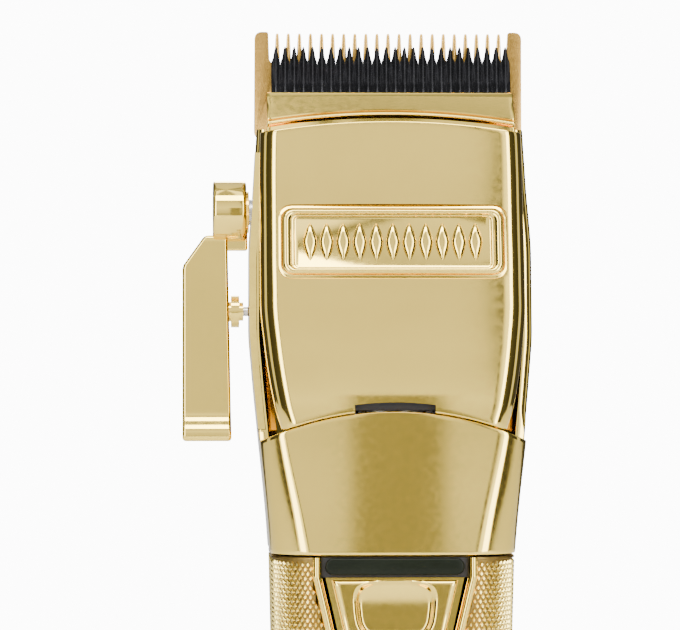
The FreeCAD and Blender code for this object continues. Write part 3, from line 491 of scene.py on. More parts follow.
def skin(piece, form, columns, open_y, low, high, rows, wall, back=False, lip=LIP, side_lip=LIP):
    """Closed shell of even wall with rolled edges between two border curves."""
    lips = [lip * step for step in LIP_STEPS]
    levels = [("low", d) for d in lips] + [("mid", t) for t in spread(rows)[1:-1]]
    levels += [("high", d) for d in reversed(lips)]

    def point(column, level):
        kind, t = level
        z = (low(0, 0) + high(0, 0)) / 2
        flat = Vector((0, 0))
        for _ in range(SETTLE_ROUNDS):
            flat = outline_point(form(z), column, open_y(z), back)
            bottom, top = low(flat.x, flat.y), high(flat.x, flat.y)
            if kind == "mid":
                z = bottom + lip + (top - bottom - 2 * lip) * t
            else:
                z = bottom + t if kind == "low" else top - t
        return Vector((flat.x, flat.y, z))

    flat = [[point(column, level) for column in columns] for level in levels]
    count, height = len(columns), len(levels)

    def normal(i, j):
        along = flat[i][min(j + 1, count - 1)] - flat[i][max(j - 1, 0)]
        up = flat[min(i + 1, height - 1)][j] - flat[max(i - 1, 0)][j]
        return along.cross(up).normalized() * (1.0 if not back else -1.0)

    def sink(distance, radius):
        reach = max(0.0, radius - distance)
        return radius - math.sqrt(max(0.0, radius * radius - reach * reach))

    def depth(i, j):
        _, kind, column_lip, t = columns[j]
        radius = LIP + (side_lip - LIP) * step_between(flat[i][j].z, SIDE_LIP_LOW, SIDE_LIP_HIGH)
        near_side = column_lip if kind == SIDE and t == 0.0 else radius
        near_end = levels[i][1] if levels[i][0] != "mid" else lip
        return max(sink(near_side, radius), sink(near_end, lip))

    normals = [[normal(i, j) for j in range(count)] for i in range(height)]
    outer = [[flat[i][j] + normals[i][j] * -depth(i, j) for j in range(count)] for i in range(height)]
    inner = [[flat[i][j] + normals[i][j] * -wall for j in range(count)] for i in range(height)]
    outside = piece.grid(outer)
    inside = piece.grid(inner)
    for end in (0, -1):
        piece.strip(outside[end], inside[end])
        piece.strip([row[end] for row in outside], [row[end] for row in inside])


def step_between(value, start, end):
    """Smooth step from 0 to 1."""
    t = min(max((value - start) / (end - start), 0.0), 1.0)
    return t * t * (3 - 2 * t)


def shoulder(gap):
    """Line in y and z where the front covers meet the rear shell, moved forward by a gap."""
    def line(z):
        climb = max(0.0, min(z, SHOULDER_HIGH) - SHOULDER_LOW)
        return SHOULDER_Y - gap + climb * SHOULDER_RUN / (SHOULDER_HIGH - SHOULDER_LOW)
    return line


def arc(top, radius):
    """Height of an arc that is highest at the middle."""
    def height(x, _):
        return top - radius + math.sqrt(max(0.0, radius * radius - x * x))
    return height


def level(z):
    """Border curve at one height."""
    return lambda x, y: z


NECK_LOW = 83.5
WAIST_TOP = 107.6
WAIST_RADIUS = 53.3
WAIST = arc(WAIST_TOP, WAIST_RADIUS)
COVER_TOP_RADIUS = 128.0
COVER_TOP = arc(156.3, COVER_TOP_RADIUS)
PLATE_CENTER = Vector((0.0, -11.9, 135.8))
PLATE_TILT = math.radians(-15.0)
PLATE_WIDTH = 38.8
PLATE_HEIGHT = 13.0
PLATE_RADIUS = 2.4
RECESS_DEPTH = 1.15
CORNER_STEPS = 8
SLOT_HALF = 6.7
SLOT_RISE = 1.3
SLOT_BACK = -15.4
PAST_SURFACE = 5.0


def rounded_outline(width, height, radius):
    """Rounded rectangle as (across, up) points."""
    points = []
    for k, (side, rise) in enumerate(((1, 1), (-1, 1), (-1, -1), (1, -1))):
        for t in spread(CORNER_STEPS):
            angle = math.pi / 2 * (k + t)
            points.append((side * (width / 2 - radius) + radius * math.cos(angle),
                           rise * (height / 2 - radius) + radius * math.sin(angle)))
    return points


def on_plate(x, out, up):
    """Point on the tilted plane of the name plate; out is away from the body."""
    turn = Matrix.Rotation(PLATE_TILT, 3, "X")
    return PLATE_CENTER + turn @ Vector((x, -out, up))


def plate_ring(width, height, radius, out):
    """Rounded rectangle on the plane of the name plate."""
    return [on_plate(x, out, up) for x, up in rounded_outline(width, height, radius)]


def make_front_cover():
    cover = Piece()
    skin(cover, COVER, columns_of(), shoulder(GAP), WAIST, COVER_TOP, 70, WALL)
    recess = Piece()
    recess.tube([plate_ring(PLATE_WIDTH, PLATE_HEIGHT, PLATE_RADIUS, out)
                 for out in (-RECESS_DEPTH, PAST_SURFACE)])
    # The slot opens the cover's lower edge onto the black block behind it, which is painted shade under the
    # overhang.
    slot = Piece()
    front, below = -22.0, -1.0
    corners = ((front, below), (front, SLOT_RISE), (SLOT_BACK, SLOT_RISE), (SLOT_BACK, below))
    slot.tube([[Vector((x, y, WAIST(x, 0) + rise)) for y, rise in corners]
               for x in spread(17, -SLOT_HALF, SLOT_HALF)])
    cutters = [recess.mesh("recess"), slot.mesh("slot")]
    data = carve(cover.mesh("front_cover_shape"), cutters, "front_cover_skin")
    show(data, "gold_polished", "housing", "front_cover")


def make_neck_cover():
    neck = Piece()
    top = arc(WAIST_TOP - GAP, WAIST_RADIUS - GAP)
    skin(neck, BODY, columns_of(), shoulder(GAP), level(NECK_LOW), top, 40, WALL, lip=0.2)
    show(neck.mesh("neck_cover_skin"), "gold_polished", "housing", "neck_cover")


def rear_top(x, y):
    """Top edge of the rear shell: high at the shoulders, low behind the blade."""
    high = SHOULDER_TOP - SHOULDER_DROP * step_between(y, -1.2, 0.2)
    behind_blade = step_between(-abs(x), -20.4, -17.9) * step_between(y, 2.0, 4.5)
    return high - (high - BACK_TOP) * behind_blade


def screw_well(x, z, surface):
    """Round well in the rear shell for the head of a housing screw."""
    profile = [(0.0, WELL_RADIUS), (2 * PAST_SURFACE, WELL_RADIUS)]
    return turned("y", (x, surface - WELL_DEPTH, z), profile, 32)


SHOULDER_TOP = 155.0
SHOULDER_DROP = 3.4
BACK_TOP = 143.5
WELL_DEPTH = 2.3
WELL_RADIUS = 2.65
POCKET_DEPTH = 1.3
# Housing screws: x, z and the height of the surface there.
SCREWS = [(side * x, z, surface)
          for x, z, surface in ((16.0, 120.0, 15.4), (16.0, 108.8, 16.2), (14.0, 88.4, 17.2))
          for side in (1, -1)]


def shoulder_ledge(side):
    """Ledge of the rear shell that the front cover's narrower lower end shows."""
    ledge = Piece()
    rings = []
    inner = 17.4
    for z in spread(30, 99.0, 134.0):
        outer, face = BODY(z)[0] - 0.5, shoulder(0.0)(z) + 0.05
        rings.append([Vector((side * x, y, z)) for x, y in
                      ((inner, face), (outer, face + 2.4), (outer, face + 3.4), (inner, face + 1.2))])
    ledge.tube(rings)
    return ledge


def make_rear_shell():
    rear = Piece()
    side_lip = 1.3
    skin(rear, BODY, columns_of(20, 16, 40, side_lip), shoulder(0.0), level(NECK_LOW), rear_top, 80, WALL,
         back=True, side_lip=side_lip)
    wells = [screw_well(x, z, surface).mesh("well") for x, z, surface in SCREWS]
    pocket = Piece()
    rear_y, front_y, outside = 6.1, -14.0, -2.0
    corners = ((POCKET_DEPTH, rear_y), (outside, rear_y), (outside, front_y), (POCKET_DEPTH, front_y))
    pocket.tube([[Vector((-BODY(z)[0] + depth, y, z)) for depth, y in corners]
                 for z in spread(24, 104.1, 151.1)])
    data = carve(rear.mesh("rear_shell_shape"), wells + [pocket.mesh("pocket")], "rear_shell_skin")
    ledges = Piece()
    for side in (-1, 1):
        ledges.merge(shoulder_ledge(side))
    show(ledges.mesh("shoulder_ledges"), "gold_polished", "housing")
    show(data, "gold_polished", "housing", "rear_shell")


make_front_cover()
make_neck_cover()
make_rear_shell()


# ---------------------------------------------------------------- more mesh tools
EASE = 0.12
LONG_EDGE = 2.5


def offset(outline, amount):
    """Move every corner of a counter-clockwise outline inwards, less at sharp corners."""
    moved = []
    count = len(outline)
    for k, point in enumerate(outline):
        before, here, after = Vector(outline[k - 1]), Vector(point), Vector(outline[(k + 1) % count])
        one, two = (here - before), (after - here)
        if one.length < 1e-6 or two.length < 1e-6:
            moved.append(tuple(here))
            continue
        one.normalize()
        two.normalize()
        inward = Vector((-one.y - two.y, one.x + two.x))
        inward.normalize()
        stretch = 1.0 / max(0.5, inward.dot(Vector((-one.y, one.x))))
        moved.append(tuple(here + inward * amount * stretch))
    return moved


def round_corners(corners, steps=5):
    """Outline with round corners, each given as (across, up, radius).

    Beside a corner, a long straight edge gets one more point, which keeps its shading flat."""
    points = []
    count = len(corners)
    for k, (x, z, radius) in enumerate(corners):
        here = Vector((x, z))
        before, after = Vector(corners[k - 1][:2]), Vector(corners[(k + 1) % count][:2])
        a, b = (before - here).normalized(), (after - here).normalized()
        half = a.angle(b) / 2
        reach = radius / math.tan(half)
        middle = here + (a + b).normalized() * radius / math.sin(half)
        start, end = here + a * reach - middle, here + b * reach - middle
        eased = reach + EASE * radius
        if (before - here).length > LONG_EDGE * reach:
            points.append(tuple(here + a * eased))
        points += [tuple(middle + start.slerp(end, t).normalized() * radius) for t in spread(steps)]
        if (after - here).length > LONG_EDGE * reach:
            points.append(tuple(here + b * eased))
    return points


def prism(outline, axis, start, end, edge, steps=4):
    """Solid with rounded rims, drawn from an outline along an axis."""
    piece = Piece()
    way = 1 if end > start else -1
    quarter = [math.pi / 2 * t for t in spread(steps)]
    rims = [(edge * (1 - math.sin(angle)), edge * (1 - math.cos(angle))) for angle in quarter]
    stack = [(start + way * rise, inset) for rise, inset in reversed(rims)]
    if abs(end - start) > 2.6 * edge:
        stack += [(start + way * edge * 1.15, 0.0), (end - way * edge * 1.15, 0.0)]
    stack += [(end - way * rise, inset) for rise, inset in rims]
    piece.closed([[along(axis, place, a, b) for a, b in offset(outline, inset)] for place, inset in stack])
    return piece


def block(x0, x1, y0, y1, z0, z1, edge):
    """Box with rounded edges."""
    corners = round_corners([(x0, y0, edge), (x1, y0, edge), (x1, y1, edge), (x0, y1, edge)])
    return prism(corners, "z", z0, z1, edge * 0.95)


# ---------------------------------------------------------------- blades
FIXED_TEETH = 21
FIXED_PITCH = 1.905
CUTTER_TEETH = 26
CUTTER_PITCH = 1.577
CUTTER_REST_X = 0.4
BLADE_FRONT = 3.2
BLADE_REAR = 6.1
BLADE_TOP = 172.0
GRIND_START = 158.0
GRIND_DEPTH = 1.9
# Right half of the fixed blade's outline: across, up, corner radius.
WING = [(18.0, 146.0, 1.2), (18.0, 153.4, 0.4), (23.0, 153.8, 1.2), (22.95, BLADE_TOP, 1.1),
        (20.6, BLADE_TOP, 0.35), (20.4, 167.2, 0.5), (19.75, 166.3, 0.3), (19.7, 164.0, 0.1)]
# Stations of a tooth: height, half width, how far its front stands back.
FIXED_TOOTH = [(162.5, 0.57, 0.02), (163.8, 0.56, 0.02), (166.0, 0.50, 0), (169.5, 0.375, 0),
               (170.9, 0.31, 0.05), (171.5, 0.25, 0.25), (171.75, 0.14, 0.5)]
# Stations of a tooth: height, half width, depth of the scoops beside its ridge.
CUTTER_TOOTH = [(159.8, 0.80, 0.05), (161.2, 0.80, 0.35), (163.5, 0.80, 0.62), (166.0, 0.80, 0.72),
                (166.9, 0.74, 0.70), (167.25, 0.58, 0.5), (167.6, 0.47, 0.4), (168.2, 0.37, 0.3),
                (168.9, 0.24, 0.2), (169.38, 0.08, 0.05)]
CUTTER_REAR = 3.12


def blade_rear(z):
    """Rear face of the fixed blade, ground thin towards the tips."""
    return BLADE_REAR - max(0.0, z - GRIND_START) * GRIND_DEPTH / (BLADE_TOP - GRIND_START)


def make_fixed_blade():
    blade = Piece()
    left = [(-x, z, radius) for x, z, radius in reversed(WING)]
    blade.merge(prism(round_corners(WING + left), "y", BLADE_FRONT, BLADE_REAR, 0.08))
    for index in range(FIXED_TEETH):
        x = (index - (FIXED_TEETH - 1) / 2) * FIXED_PITCH
        rings = []
        for z, half, back in FIXED_TOOTH:
            chamfer = min(0.14, half * 0.5)
            front, rear = BLADE_FRONT + back, blade_rear(z) - back * 0.5
            rings.append([Vector(point) for point in (
                (x - half, front + chamfer, z), (x - half + chamfer, front, z), (x + half - chamfer, front, z),
                (x + half, front + chamfer, z), (x + half, rear, z), (x - half, rear, z))])
        blade.tube(rings)
    for point in blade.points:
        if point.y > BLADE_FRONT:
            thinning = min(1.0, (blade_rear(point.z) - BLADE_FRONT) / (BLADE_REAR - BLADE_FRONT))
            point.y = BLADE_FRONT + (point.y - BLADE_FRONT) * thinning
    show(blade.mesh("comb_blade", 25), "gold_blade", "fixed_blade_slide", "fixed_blade")


def make_cutter():
    cutter = Piece()
    half_row = (CUTTER_TEETH - 1) / 2 * CUTTER_PITCH + 0.3
    cutter.merge(block(-half_row - 0.45, half_row + 0.45, 0.25, 3.1, 152.0, 161.2, 0.2))
    for index in range(CUTTER_TEETH):
        x = (index - (CUTTER_TEETH - 1) / 2) * CUTTER_PITCH
        rings = []
        for z, half, scoop in CUTTER_TOOTH:
            front = 0.3 + max(0.0, z - 160.5) * 0.215
            ridge = min(0.1, half * 0.4)
            waist = min(front + scoop, CUTTER_REAR - 0.15)
            rings.append([Vector(point) for point in (
                (x - half, waist, z), (x - half * 0.62, front + scoop * 0.72, z), (x - ridge, front, z),
                (x + ridge, front, z), (x + half * 0.62, front + scoop * 0.72, z), (x + half, waist, z),
                (x + half, CUTTER_REAR, z), (x - half, CUTTER_REAR, z))])
        cutter.tube(rings)
    for point in cutter.points:
        point.x += CUTTER_REST_X
    show(cutter.mesh("cutter_comb", 28), "black_blade", "cutter", "cutter_blade")


def make_blade_cover():
    """Polished plate that slopes down from the cutter to a rounded rim along the housing's top edge."""
    plate = Piece()
    rim = arc(158.2, COVER_TOP_RADIUS)
    rows = []

    def slope(z):
        return -1.75 - (161.4 - z) * 0.93

    for x in [-21.0, -20.95, -20.8, -20.5] + spread(61, -20.2, 20.2) + [20.5, 20.8, 20.95, 21.0]:
        shrink = max(0.0, abs(x) - 20.4) / 0.6
        inset = 0.35 * (1 - math.sqrt(max(0.0, 1 - shrink * shrink)))
        edge = rim(x, 0)
        profile = [(-0.95, 160.6), (-0.95, 161.1), (-1.1, 161.32), (-1.35, 161.4), (-1.65, 161.38),
                   (-1.9, 161.2)]
        profile += [(slope(z) - 0.02, z) for z in spread(8, 160.9, edge + 0.15)]
        nose = slope(edge)
        profile += [(nose + 0.12, edge - 0.02)]
        profile += [(nose + 0.35 - 0.62 * math.sin(math.pi * t), edge - 0.12 - 1.05 * t) for t in spread(9)]
        profile += [(nose + 0.8, edge - 1.35), (nose + 0.8, edge - 2.6), (nose + 1.8, edge - 2.6)]
        profile += [(nose + 1.8, edge - 0.9), (-2.2, 159.6)]
        middle = Vector((-3.2, 158.8))
        row = []
        for y, z in profile:
            away = Vector((y, z)) - middle
            away = away * max(0.0, 1 - inset / max(away.length, 0.1))
            row.append(Vector((x, middle.x + away.x, middle.y + away.y)))
        rows.append(row)
    plate.closed(rows)
    show(plate.mesh("cutter_cover_plate", 40), "gold_polished", "housing", "blade_cover")


def make_painted_shade_liner():
    """Black block behind the slot at the front cover's lower edge: painted shade under the cover's overhang.
    """
    liner = block(-8.0, 8.0, -16.6, -15.8, 107.45, 109.9, 0.2)
    show(liner.mesh("painted_shade_liner"), "black_plastic", "housing")


make_painted_shade_liner()
make_fixed_blade()
make_cutter()
make_blade_cover()


# ---------------------------------------------------------------- taper lever
LEVER_Y = 2.5
LEVER_Z = 141.0
DETENT_Z = 124.0
ARM_LOW = 101.9
ARM_TOP = 137.0
ARM_OUTER = -35.3
ARM_REAR = 5.0
ARM_EDGE = 0.5
CHAMFER_START = 131.7
CHAMFER_WIDTH = 3.8
LIP_REACH = 1.5
# The barrel's profile from its outer face to the housing: distance along, radius.
BARREL = [(-28.6, 0.0), (-28.6, 3.45), (-28.62, 3.5), (-29.85, 3.55), (-30.0, 3.65), (-30.08, 3.85),
          (-30.1, 4.1), (-30.1, 4.75), (-30.07, 5.0), (-29.95, 5.2), (-29.75, 5.32), (-29.5, 5.35),
          (-25.1, 5.35), (-24.8, 5.3), (-24.6, 5.18), (-24.45, 5.0), (-24.4, 4.8), (-24.4, 3.65),
          (-24.0, 3.6), (-23.95, 3.5), (-23.95, 0.0)]


def arm_sides(z):
    """Outer x, inner x and front y of the lever's arm at one height."""
    outer = ARM_OUTER + max(0.0, z - CHAMFER_START) * CHAMFER_WIDTH / (ARM_TOP - CHAMFER_START)
    inner = -26.96 - (z - 104.0) * 0.02
    return outer, inner, -LIP_REACH * step_between(-z, -106.6, -103.4)


def make_lever():
    arm = Piece()
    rings = []
    heights = [(ARM_LOW, 0.5), (ARM_LOW + 0.05, 0.32), (ARM_LOW + 0.2, 0.14), (ARM_LOW + 0.5, 0.0)]
    straight = spread(12, 102.9, 107.2) + spread(9, 110.0, 130.8) + spread(9, 131.3, 136.5)
    heights += [(z, 0.0) for z in straight]
    heights += [(ARM_TOP - 0.2, 0.12), (ARM_TOP - 0.05, 0.3), (ARM_TOP, 0.5)]
    for z, inset in heights:
        outer, inner, front = arm_sides(z)
        corners = [(outer + inset, front + inset, ARM_EDGE), (inner - inset, front + inset, ARM_EDGE),
                   (inner - inset, ARM_REAR - inset, ARM_EDGE), (outer + inset, ARM_REAR - inset, ARM_EDGE)]
        rings.append([Vector((x, y, z)) for x, y in round_corners(corners, 6)])
    arm.closed(rings)
    seat = turned("x", (0, LEVER_Y, DETENT_Z), [(-30.25, 1.72), (-20.0, 1.72)], 40)
    data = carve(arm.mesh("arm_shape", 38), [seat.mesh("seat")], "lever_arm")
    show(data, "gold_polished", "lever", "taper_lever")
    hub = turned("x", (0, LEVER_Y, LEVER_Z), BARREL, 96)
    hub.merge(block(-27.9, -24.2, 0.6, 4.4, 134.4, 137.6, 0.35))
    show(hub.mesh("lever_hub", 38), "gold_polished", "lever")


make_lever()


# ---------------------------------------------------------------- name plate
LOZENGES = 11
LOZENGE_PITCH = 2.78
LOZENGE_WIDTH = 2.5
LOZENGE_HEIGHT = 6.6
LOZENGE_RISE = 0.42
LOZENGE_ROUNDNESS = 1.35
LOZENGE_POINTS = 24
PANEL_DEPTH = 0.5
# Rings of the dome from its foot: share of the full outline, share of the rise.
LOZENGE_RINGS = [(1.0, -0.2), (1.0, 0.0), (0.9, 0.45), (0.72, 0.78), (0.45, 0.95), (0.15, 1.0)]


def lozenge(middle):
    """Embossed lozenge on the name plate's panel."""
    dome = Piece()
    rings = []
    for share, up in LOZENGE_RINGS:
        points = []
        for k in range(LOZENGE_POINTS):
            angle = 2 * math.pi * k / LOZENGE_POINTS
            across, upward = math.cos(angle), math.sin(angle)
            power = abs(across) ** LOZENGE_ROUNDNESS + abs(upward) ** LOZENGE_ROUNDNESS
            reach = share / power ** (1 / LOZENGE_ROUNDNESS)
            points.append(on_plate(middle + LOZENGE_WIDTH / 2 * across * reach,
                                   LOZENGE_RISE * up - PANEL_DEPTH,
                                   LOZENGE_HEIGHT / 2 * upward * reach))
        rings.append(points)
    dome.tube(rings)
    return dome


def make_name_plate():
    """Framed plate; each ring is its width, height, corner radius and distance out."""
    plate = Piece()
    rings = [(38.5, 12.7, 2.3, -1.1), (38.5, 12.7, 2.3, -0.55), (38.3, 12.5, 2.2, -0.5),
             (37.7, 11.9, 2.0, -0.5), (37.4, 11.6, 1.9, -0.42), (37.15, 11.35, 1.8, -0.1),
             (36.9, 11.1, 1.7, 0.16), (36.5, 10.7, 1.6, 0.31), (36.0, 10.35, 1.5, 0.36),
             (35.4, 10.1, 1.4, 0.33), (34.8, 9.85, 1.3, 0.22), (34.3, 9.6, 1.2, 0.0),
             (34.1, 9.45, 1.1, -0.12), (33.5, 9.2, 0.9, -0.15), (33.2, 9.0, 0.8, -0.2),
             (32.9, 8.8, 0.7, -0.45), (32.5, 8.5, 0.6, -0.5)]
    plate.closed([plate_ring(*ring_size) for ring_size in rings])
    for k in range(LOZENGES):
        plate.merge(lozenge((k - (LOZENGES - 1) / 2) * LOZENGE_PITCH))
    show(plate.mesh("name_plate_frame", 42), "gold_polished", "housing", "name_plate")


# ---------------------------------------------------------------- strip, lens and switch
STRIP_TOP = 83.15
STRIP_SHOULDER = 79.9
STRIP_BEND = 46.9
STRIP_LOW = 6.7
STRIP_WIDE = 13.7
STRIP_NARROW = 6.0
STRIP_BACK = -15.6


def strip_half(z):
    """Half width of the strip down the front of the grip."""
    if z <= STRIP_BEND:
        return STRIP_NARROW
    taper = (STRIP_WIDE - STRIP_NARROW) / (STRIP_SHOULDER - STRIP_BEND)
    return STRIP_WIDE - max(0.0, STRIP_SHOULDER - z) * taper


def make_strip():
    left = [(-STRIP_WIDE, STRIP_TOP, 0.05), (-STRIP_WIDE, STRIP_SHOULDER, 1.5),
            (-STRIP_NARROW, STRIP_BEND, 8.0), (-STRIP_NARROW, STRIP_LOW, 1.2)]
    steps = 7
    outline = round_corners(left + [(-x, z, radius) for x, z, radius in reversed(left)], steps)
    bezel = Piece()
    section = [(0.0, -15.6), (0.0, -18.35), (0.06, -18.62), (0.22, -18.85), (0.45, -18.97), (0.75, -19.0),
               (1.0, -18.93), (1.2, -18.75), (1.4, -18.3), (1.5, -18.0), (1.52, -15.6)]
    moved = {inset: offset(outline, inset) for inset, _ in section}
    top_corner = steps + 2
    rings = [[Vector((moved[inset][k][0], y, moved[inset][k][1])) for inset, y in section]
             for k in range(top_corner, len(outline) - top_corner)]
    rings.insert(0, [Vector((point.x, point.y, STRIP_TOP)) for point in rings[0]])
    rings.append([Vector((point.x, point.y, STRIP_TOP)) for point in rings[-1]])
    bezel.closed(rings)
    bezel.merge(prism(offset(outline, 1.4), "y", STRIP_BACK, -17.0, 0.05))
    show(bezel.mesh("strip_bezel", 42), "gold_polished", "housing", "strip_frame")


def make_lens():
    half, low, high, radius = 11.6, 80.2, 83.0, 1.35
    corners = [(-half, low, radius), (half, low, radius), (half, high, radius), (-half, high, radius)]
    lens = prism(round_corners(corners, 10), "y", -17.3, -18.1, 0.3)
    show(lens.mesh("indicator_window"), "smoked_lens", "housing", "indicator_lens")


def make_lens_bed():
    """Dark surround that the lens sits in."""
    half, low = 12.2, 79.75
    corners = [(-half, low, 0.4), (half, low, 0.4), (half, STRIP_TOP, 0.2), (-half, STRIP_TOP, 0.2)]
    bed = prism(round_corners(corners), "y", -16.6, -17.25, 0.1)
    show(bed.mesh("lens_bed"), "black_plastic", "housing")


def make_switch():
    """Sliding switch: a bevelled wedge with a scooped thumb rest and a raised lip under it."""
    low, high, base_y, most = 65.5, 79.4, -17.1, 3.28
    heights = [low, low + 0.05, low + 0.2, low + 0.45] + spread(90, low + 0.8, high - 0.8)
    heights += [high - 0.45, high - 0.2, high - 0.05, high]
    shares = [-1.0, -0.992, -0.972, -0.94] + spread(90, -0.9, 0.9) + [0.94, 0.972, 0.992, 1.0]

    def rise(x, z, share):
        """Height over the base: a body, a lip, a scoop bounded by a rounded square, and rolled edges."""
        body = 1.75 + 0.35 * step_between(-z, -74.0, -68.0)
        lip = 1.1 * math.exp(-((z - 68.3) / 1.5) ** 2) * (1 - step_between(abs(x), 4.5, 8.2))
        reach = max(abs(x) / (6.1 + (z - 68.0) * 0.1), 0.001)
        depth = (z - 74.4) / 5.2
        squareness = 3.2
        radius = (reach ** squareness + abs(depth) ** squareness) ** (1 / squareness)
        inside = 1 - step_between(radius, 0.82, 1.02)
        scoop = -1.05 * inside * (0.75 + 0.25 * math.cos(depth * 1.4))
        edge = min((1 - abs(share)) * 9.0, z - low, high - z)
        roll = 0.8 - math.sqrt(max(0.0, 0.64 - (0.8 - min(edge, 0.8)) ** 2))
        return min(body + lip + scoop, most) - roll * 0.9

    rows = []
    for z in heights:
        half = strip_half(z) - 3.1
        rows.append([Vector((share * half, base_y - rise(share * half, z, share), z)) for share in shares])
    switch = Piece()
    front = switch.grid(rows)
    border = front[0] + [row[-1] for row in front[1:]] + front[-1][-2::-1] + [row[0] for row in front[-2:0:-1]]
    base = [switch.add((switch.points[k].x, base_y, switch.points[k].z)) for k in border]
    switch.strip(border, base, loop=True)
    switch.face(*base)
    show(switch.mesh("thumb_switch", 50), "gold_polished", "switch", "power_switch")


# ---------------------------------------------------------------- knurled grip
GRIP_LOW = 6.5
GRIP_HIGH = 83.2
GRIP_WALL = 1.5
KNURL_DEPTH = 0.3
KNURL_ROOT = 0.34
KNURL_AROUND = 288
KNURL_LAYERS = 98


def grip_ring(z, inset):
    """Evenly spaced points round the grip, with the direction outwards at each."""
    half, front, rear, front_radius, rear_radius = GRIP(z)
    corners = [(half - front_radius, front + front_radius, front_radius, -90, 0),
               (half - rear_radius, rear - rear_radius, rear_radius, 0, 90),
               (-(half - rear_radius), rear - rear_radius, rear_radius, 90, 180),
               (-(half - front_radius), front + front_radius, front_radius, 180, 270)]
    path = []
    for x, y, radius, start, end in corners:
        for t in spread(25):
            angle = math.radians(start + (end - start) * t)
            way = Vector((math.cos(angle), math.sin(angle)))
            path.append((Vector((x, y)) + way * (radius - inset), way))
    path.append(path[0])
    lengths = [0.0]
    for (a, _), (b, _) in zip(path, path[1:]):
        lengths.append(lengths[-1] + (b - a).length)
    points, k = [], 0
    for index in range(KNURL_AROUND):
        place = lengths[-1] * index / KNURL_AROUND
        while lengths[k + 1] < place:
            k += 1
        t = (place - lengths[k]) / max(1e-9, lengths[k + 1] - lengths[k])
        points.append((path[k][0].lerp(path[k + 1][0], t), path[k][1].lerp(path[k + 1][1], t).normalized()))
    return points


KNURL_LOW = GRIP_LOW + 0.45
KNURL_HIGH = GRIP_HIGH - 0.5


def in_strip(x, y, z, margin):
    """Whether a point of the grip lies under the strip, by more than a margin."""
    return y < 0 and abs(x) < strip_half(z) - margin


def make_grip_core():
    """The grip's wall up to the roots of its knurl, with a flat bed for the strip; its dark gold is painted
    shade in the knurl's grooves.
    """
    grip = Piece()
    foot = [(0.0, GRIP_WALL), (0.0, 0.3), (0.08, 0.1), (0.2, 0.03)]
    stack = [(GRIP_LOW + rise, inset) for rise, inset in foot] + [(KNURL_LOW - 0.08, 0.03)]
    stack += [(z, KNURL_DEPTH) for z in spread(30, KNURL_LOW, KNURL_HIGH)]
    stack += [(KNURL_HIGH + 0.08, 0.03)] + [(GRIP_HIGH - rise, inset) for rise, inset in reversed(foot)]
    rows = []
    for z, inset in stack:
        bed = -15.7 + (0.6 if inset == GRIP_WALL else 0.0)
        rows.append([Vector((flat.x, bed if in_strip(flat.x, flat.y, z, 0.35) else flat.y, z))
                     for flat, _ in grip_ring(z, inset)])
    for z in spread(16, GRIP_HIGH, GRIP_LOW)[1:-1]:
        rows.append([Vector((flat.x, max(flat.y, -15.1) if abs(flat.x) < strip_half(z) - 0.2 else flat.y, z))
                     for flat, _ in grip_ring(z, GRIP_WALL)])
    indices = grip.grid(rows, loop=True)
    grip.strip(indices[-1], indices[0], loop=True)
    core = show(grip.mesh("grip_core"), "gold_satin", "housing", "grip_sleeve")
    # The wall's dark gold is painted shade between the studs.
    core.data.materials[0] = painted_shade_groove_gold()


def make_knurl():
    """One four-sided stud for each diamond of the knurl."""
    studs = Piece()
    heights = spread(KNURL_LAYERS + 1, KNURL_LOW, KNURL_HIGH)
    rings = [grip_ring(z, 0.0) for z in heights]

    def at(i, j, depth):
        flat, way = rings[i][j % KNURL_AROUND]
        return Vector((flat.x - way.x * depth, flat.y - way.y * depth, heights[i]))

    for i in range(1, KNURL_LAYERS):
        for j in range(i % 2, KNURL_AROUND, 2):
            flat = rings[i][j][0]
            if in_strip(flat.x, flat.y, heights[i], -0.25):
                continue
            ends = [(i - 1, j), (i, j + 1), (i + 1, j), (i, j - 1)]
            middle = at(i, j, 0.0)
            root = at(i, j, KNURL_ROOT)
            foot = [at(a, b, KNURL_ROOT).lerp(root, 0.13) for a, b in ends]
            crown = [at(a, b, 0.02).lerp(middle, 0.6) for a, b in ends]
            start = len(studs.points)
            studs.points += foot + crown
            for k in range(4):
                n = (k + 1) % 4
                studs.face(start + k, start + n, start + 4 + n, start + 4 + k)
            studs.face(start + 4, start + 5, start + 6, start + 7)
            studs.face(start + 3, start + 2, start + 1, start)
    data = bpy.data.meshes.new("knurled_sleeve")
    data.from_pydata([point * MM for point in studs.points], [], studs.faces)
    data.update()
    smooth(data, 18.0)
    show(data, "gold_satin", "housing")


make_name_plate()
make_strip()
make_lens()
make_lens_bed()
make_switch()
make_grip_core()
make_knurl()


# ---------------------------------------------------------------- studio
STUDIO_AIM = Vector((0.0, 0.0, 120.0))
FLOOR_RADIUS = 750.0
BACKDROP = 12.0
ROOM_STRENGTH = 4.0
# Brightness round the room, by the share of half a turn from straight ahead of the object.
ROOM_TONES = [(0.0, 0.5), (0.058, 0.12), (0.066, 0.2), (0.078, 2.8), (0.185, 3.4), (0.215, 0.12), (0.44, 0.06),
              (0.465, 1.3), (0.535, 1.3), (0.56, 0.08), (0.84, 0.06), (0.90, 0.9), (1.0, 1.0)]
# Brightness up the narrow sector straight ahead, from straight down to straight up.
FRONT_SECTOR = 0.058
FRONT_TONES = [(0.0, 0.35), (0.40, 0.5), (0.47, 1.25), (0.56, 1.6), (0.63, 1.9), (0.68, 1.7), (0.76, 1.5),
               (0.86, 0.9), (0.93, 0.35), (1.0, 0.4)]
OVERHEAD_TONES = [(0.0, 0.0), (0.85, 0.0), (0.93, 0.35), (1.0, 0.5)]
# A Mix node's colour inputs and output.
MIX_A, MIX_B, MIX_RESULT = 6, 7, 2


